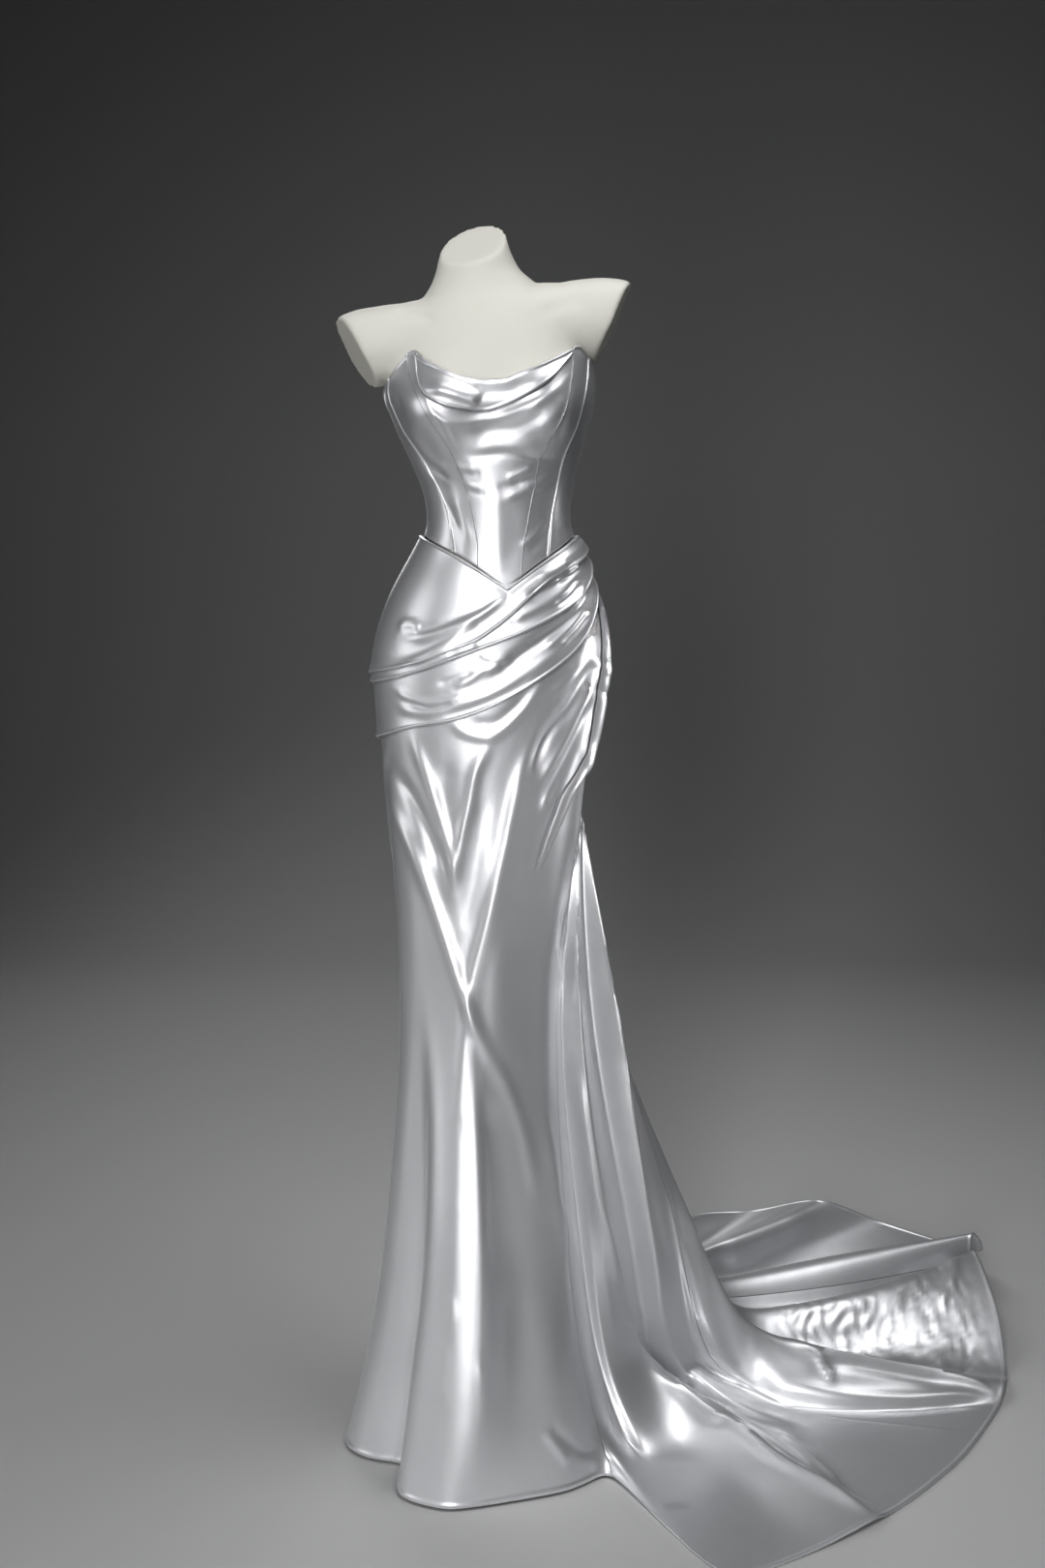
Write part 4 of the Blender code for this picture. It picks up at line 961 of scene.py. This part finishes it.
def make_panel(name, start, end, columns):
    """A panel of the bodice between two seams, each given by its kind, side and finish."""
    across, up = net(eased(columns, PANEL_FINER), eased(BODICE_ROWS, BODICE_FINER)[::-1])
    height = np.full(across.shape, BODICE_MIDDLE)
    # The seams' angles follow the height and the edges' heights follow the angle, so both are found by turns.
    for _ in range(BODICE_TURNS):
        first, last = (seam_angle(kind, side, height) for kind, side, _ in (start, end))
        angle = first + across * (last - first)
        low, high = waist_seam(angle) + SEAM_GAP / 2, table(TOP_EDGE, angle)
        height = low + up * (high - low)
    in_front = name == "bodice_centre_front"
    hidden = smoothstep((height - table(DRAPE_EDGE, angle)) / DRAPE_FADE) * in_front
    grid = covered(bodice_point(angle, height), BODICE_CREASES, DRAPE_CREASES, hidden)
    grid = creased(grid, BACK_BODICE_CREASES, sign=1)
    put_cloth(name, seam_gap(edged(grid, start[2], end[2], groove if in_front else rolled, groove)))


def make_bodice():
    make_panel("bodice_centre_front", ("princess", -1, None), ("princess", 1, None), CENTRE_COLUMNS)
    for side, label in ((-1, "left"), (1, "right")):
        for part, (near, near_finish), (far, far_finish), columns in BODICE_PARTS:
            seams = ((near, side, near_finish), (far, side, far_finish))[::side]
            make_panel(f"bodice_{part}_{label}", *seams, columns)


def make_neckline_drape():
    first, last = DRAPE_EDGE[0][0], DRAPE_EDGE[-1][0]
    across, down = net(*(eased(count, DRAPE_FINER) for count in DRAPE_NET))
    angle = first + (last - first) * across
    top, low = table(TOP_EDGE, angle) - SEAM_GAP, table(DRAPE_EDGE, angle)
    fullness = DRAPE_RISE * np.sin(np.pi * across) * np.sin(0.75 * np.pi * down) ** 2
    base = bodice_point(angle, top + (low - top) * down)
    grid = creased(raised(base, DRAPE_LAPS * LAP + fullness), DRAPE_CREASES)
    put_cloth("neckline_drape", edged(grid, groove, groove, rolled, rolled))


def make_placket():
    angles = 180 + np.linspace(-PLACKET_HALF_WIDTH, PLACKET_HALF_WIDTH, PLACKET_NET[0])
    base = bodice_point(*net(angles, np.linspace(PLACKET_TOP, PLACKET_BOTTOM, PLACKET_NET[1])))
    put_cloth("back_placket", raised(base, LAP + SEAM_GAP * 2))


make_bodice()
make_neckline_drape()
make_placket()

# ---------------- the dress form

# Height that the shoulders' tops stand above a level bar, in millimetres, by x in millimetres.
SHOULDER_TOPS = (
    (-200, 1), (-193, 4), (-182, 7), (-166, 8.4), (-145, 7), (-128, 5.5), (-110, 3), (-94, 2), (-70, 0),
    (60, 3), (72, 5), (90, 5), (106, 7.5), (125, 10), (146, 11.5), (165, 10.5), (178, 8), (186, 4), (192, 1),
)
# They count from the arms' middle up to this height over it, and fade out at both.
SHOULDER_TOP, SHOULDER_FADE, SHOULDER_FROM = 0.075, 0.02, 0.15
# The hollows behind the collar bones, given as creases of the front, where they fade in over a depth.
FRONT_FADE = 0.02
COLLAR_BONES = (
    (8, -3.0, (-118, 1520), (-92, 1514), (-60, 1500)),
    (9, -1.4, (60, 1508), (95, 1524), (125, 1532)),
)
# The rings: lowest and highest, and how many. The upper ones are closer together, for the arms.
TORSO_RINGS = ((0.955, 1.40, 60), (1.405, 1.66, 110))
TORSO_COLUMNS = 288
TORSO_VOXEL = 0.0040
# How much of each point stays and how much comes from its neighbours, in each of the rounds of smoothing.
STAYS, FOLLOWS, ROUNDS = 0.45, 0.55, 5


def trim(bm, side, lowest, point, facing):
    """Cuts off the neck, or the arm on a side, with a plane, and closes the cut."""
    faces = [f for f in bm.faces if all(v.co.z > lowest for v in f.verts)]
    faces = [f for f in faces if any(side * v.co.x >= abs(side) * ARM_FROM for v in f.verts)]
    near = list({v for f in faces for v in f.verts}) + list({e for f in faces for e in f.edges}) + faces
    found = bmesh.ops.bisect_plane(bm, geom=near, plane_co=point, plane_no=facing, clear_outer=True)
    bmesh.ops.edgeloop_fill(bm, edges=[e for e in found["geom_cut"] if isinstance(e, bmesh.types.BMEdge)])


def torso_mesh():
    """The form's body and arms as one closed mesh of rings, with the neck and the arms cut."""
    angles = np.linspace(-180, 180, TORSO_COLUMNS, endpoint=False)
    bm = bmesh.new()
    rings = []
    for height in np.concatenate([np.linspace(*ring) for ring in TORSO_RINGS]):
        level = np.full(len(angles), height)
        rings.append([bm.verts.new(p) for p in placed(*form_radius(angles, level), angles, level)])
    for low, high in zip(rings, rings[1:]):
        for i in range(len(low)):
            j = (i + 1) % len(low)
            bm.faces.new((low[i], low[j], high[j], high[i]))
    bm.faces.new(rings[0])
    bm.faces.new(rings[-1])
    for cut in FORM_TRIMS:
        trim(bm, *cut)
    bmesh.ops.recalc_face_normals(bm, faces=bm.faces)
    mesh = bpy.data.meshes.new("torso_shell")
    bm.to_mesh(mesh)
    bm.free()
    return mesh


def smoothed(points, edges):
    """Points drawn towards the mean of their neighbours."""
    a, b = edges.T
    count = np.bincount(np.ravel(edges), minlength=len(points))
    for _ in range(ROUNDS):
        sums = [np.bincount(a, at[b], len(points)) + np.bincount(b, at[a], len(points)) for at in points.T]
        points = STAYS * points + FOLLOWS * np.stack(sums, axis=1) / count[:, None]
    return points


def make_form():
    made = new_object("torso_shell", torso_mesh())
    bpy.context.view_layer.objects.active = made
    made.data.remesh_voxel_size = TORSO_VOXEL
    bpy.ops.object.voxel_remesh()
    mesh = made.data
    points = read(mesh.vertices, "co", np.float32, 3).astype(float)
    points = smoothed(points, read(mesh.edges, "vertices", np.int32, 2))
    x, y, z = points.T
    level = z - (ARM["height"] + shoulder_shift(x))
    upper = smoothstep(level / ARM["half_height"] + SHOULDER_FROM)
    upper = upper * smoothstep((SHOULDER_TOP - level) / SHOULDER_FADE)
    points[:, 2] += table(SHOULDER_TOPS, x / MILLIMETRE) * MILLIMETRE * upper
    points[:, 1] -= crease_field(COLLAR_BONES, x, z) * smoothstep(-y / FRONT_FADE)
    mesh.vertices.foreach_set("co", points.astype(np.float32).ravel())
    mesh.shade_smooth()
    mesh.materials.clear()
    mesh.materials.append(SHELL)
    mesh.update()
    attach(made, "root")
    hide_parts("form_torso")


make_form()
for name in ("stand_base", "stand_collar", "stand_pole"):
    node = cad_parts[name]
    node.data.materials.clear()
    node.data.materials.append(STEEL)

# ---------------- floor, light and camera

PAPER_DEPTH, PAPER_HEIGHT, PAPER_HALF_WIDTH, PAPER_BEND, PAPER_FRONT = 4.2, 5.0, 9.0, 1.6, -7.0
PAPER_BELOW = 0.0005
WORLD_COLOUR, WORLD_STRENGTH = (0.55, 0.56, 0.58, 1), 0.07
CAMERA_PLACE, CAMERA_TILT, CAMERA_LENS = (0.0446, -2.134, 1.2125), 82, 37.16
# The lights: place, target, width and height, watts, and spread.
LIGHTS = {
    "key": ((-0.5, -3.3, 2.3), (0.1, 0, 0.9), (0.7, 2.8), 11, 80),
    "low_strip": ((-0.45, -2.9, 0.55), (0.0, 0, 0.4), (0.45, 0.9), 1.6, 80),
    "hip_side": ((2.9, 0.35, 0.95), (0.13, -0.03, 0.97), (0.15, 0.3), 0.11, 9),
    "left_soft": ((-3.0, -1.4, 1.5), (0, 0, 0.9), (1.4, 2.4), 5, 100),
    "top_soft": ((1.0, -0.3, 3.4), (0.45, 0.1, 0.0), (1.6, 1.6), 7.5, 100),
    "back_soft": ((-0.8, 3.4, 2.6), (0.1, 0.1, 0.7), (1.6, 2.4), 9, 120),
}


def make_paper():
    """A pale seamless paper: level under the object, and curving up far behind it."""
    flat = PAPER_DEPTH - PAPER_BEND
    turns = np.radians(np.linspace(5, 90, 18))
    bend = [(flat + PAPER_BEND * math.sin(turn), PAPER_BEND - PAPER_BEND * math.cos(turn)) for turn in turns]
    profile = [(PAPER_FRONT, 0.0), (flat, 0.0), *bend, (PAPER_DEPTH, PAPER_HEIGHT)]
    points = [(x, y, z - PAPER_BELOW) for y, z in profile for x in (-PAPER_HALF_WIDTH, PAPER_HALF_WIDTH)]
    faces = [(2 * k, 2 * k + 1, 2 * k + 3, 2 * k + 2) for k in range(len(profile) - 1)]
    mesh = bpy.data.meshes.new("studio_paper")
    mesh.from_pydata(points, [], faces)
    mesh.shade_smooth()
    floor = new_object("studio_paper", mesh)
    material, _, shader = new_material("pale_paper")
    set_inputs(shader, {"Base Color": (0.72, 0.72, 0.72, 1), "Roughness": 0.8, "Specular IOR Level": 0.2})
    mesh.materials.append(material)


def make_light(name, place, target, size, power, spread):
    data = bpy.data.lights.new(name, "AREA")
    data.shape = "RECTANGLE"
    data.size, data.size_y = size
    data.energy = power
    data.spread = math.radians(spread)
    lamp = new_object(name, data)
    lamp.location = place
    lamp.rotation_euler = (Vector(target) - Vector(place)).to_track_quat("-Z", "Y").to_euler()


def make_camera():
    data = bpy.data.cameras.new("camera")
    data.lens = CAMERA_LENS
    camera = new_object("camera", data)
    camera.location = CAMERA_PLACE
    camera.rotation_euler = (math.radians(CAMERA_TILT), 0, 0)
    bpy.context.scene.camera = camera


make_paper()
world = bpy.data.worlds.new("studio")
bpy.context.scene.world = world
world.use_nodes = True
set_inputs(world.node_tree.nodes["Background"], {"Color": WORLD_COLOUR, "Strength": WORLD_STRENGTH})
for name, settings in LIGHTS.items():
    make_light(name, *settings)
make_camera()
bpy.context.scene.view_settings.view_transform = "Standard"
bpy.context.scene.view_settings.look = "Very High Contrast"
bpy.context.scene.view_settings.exposure = -0.35
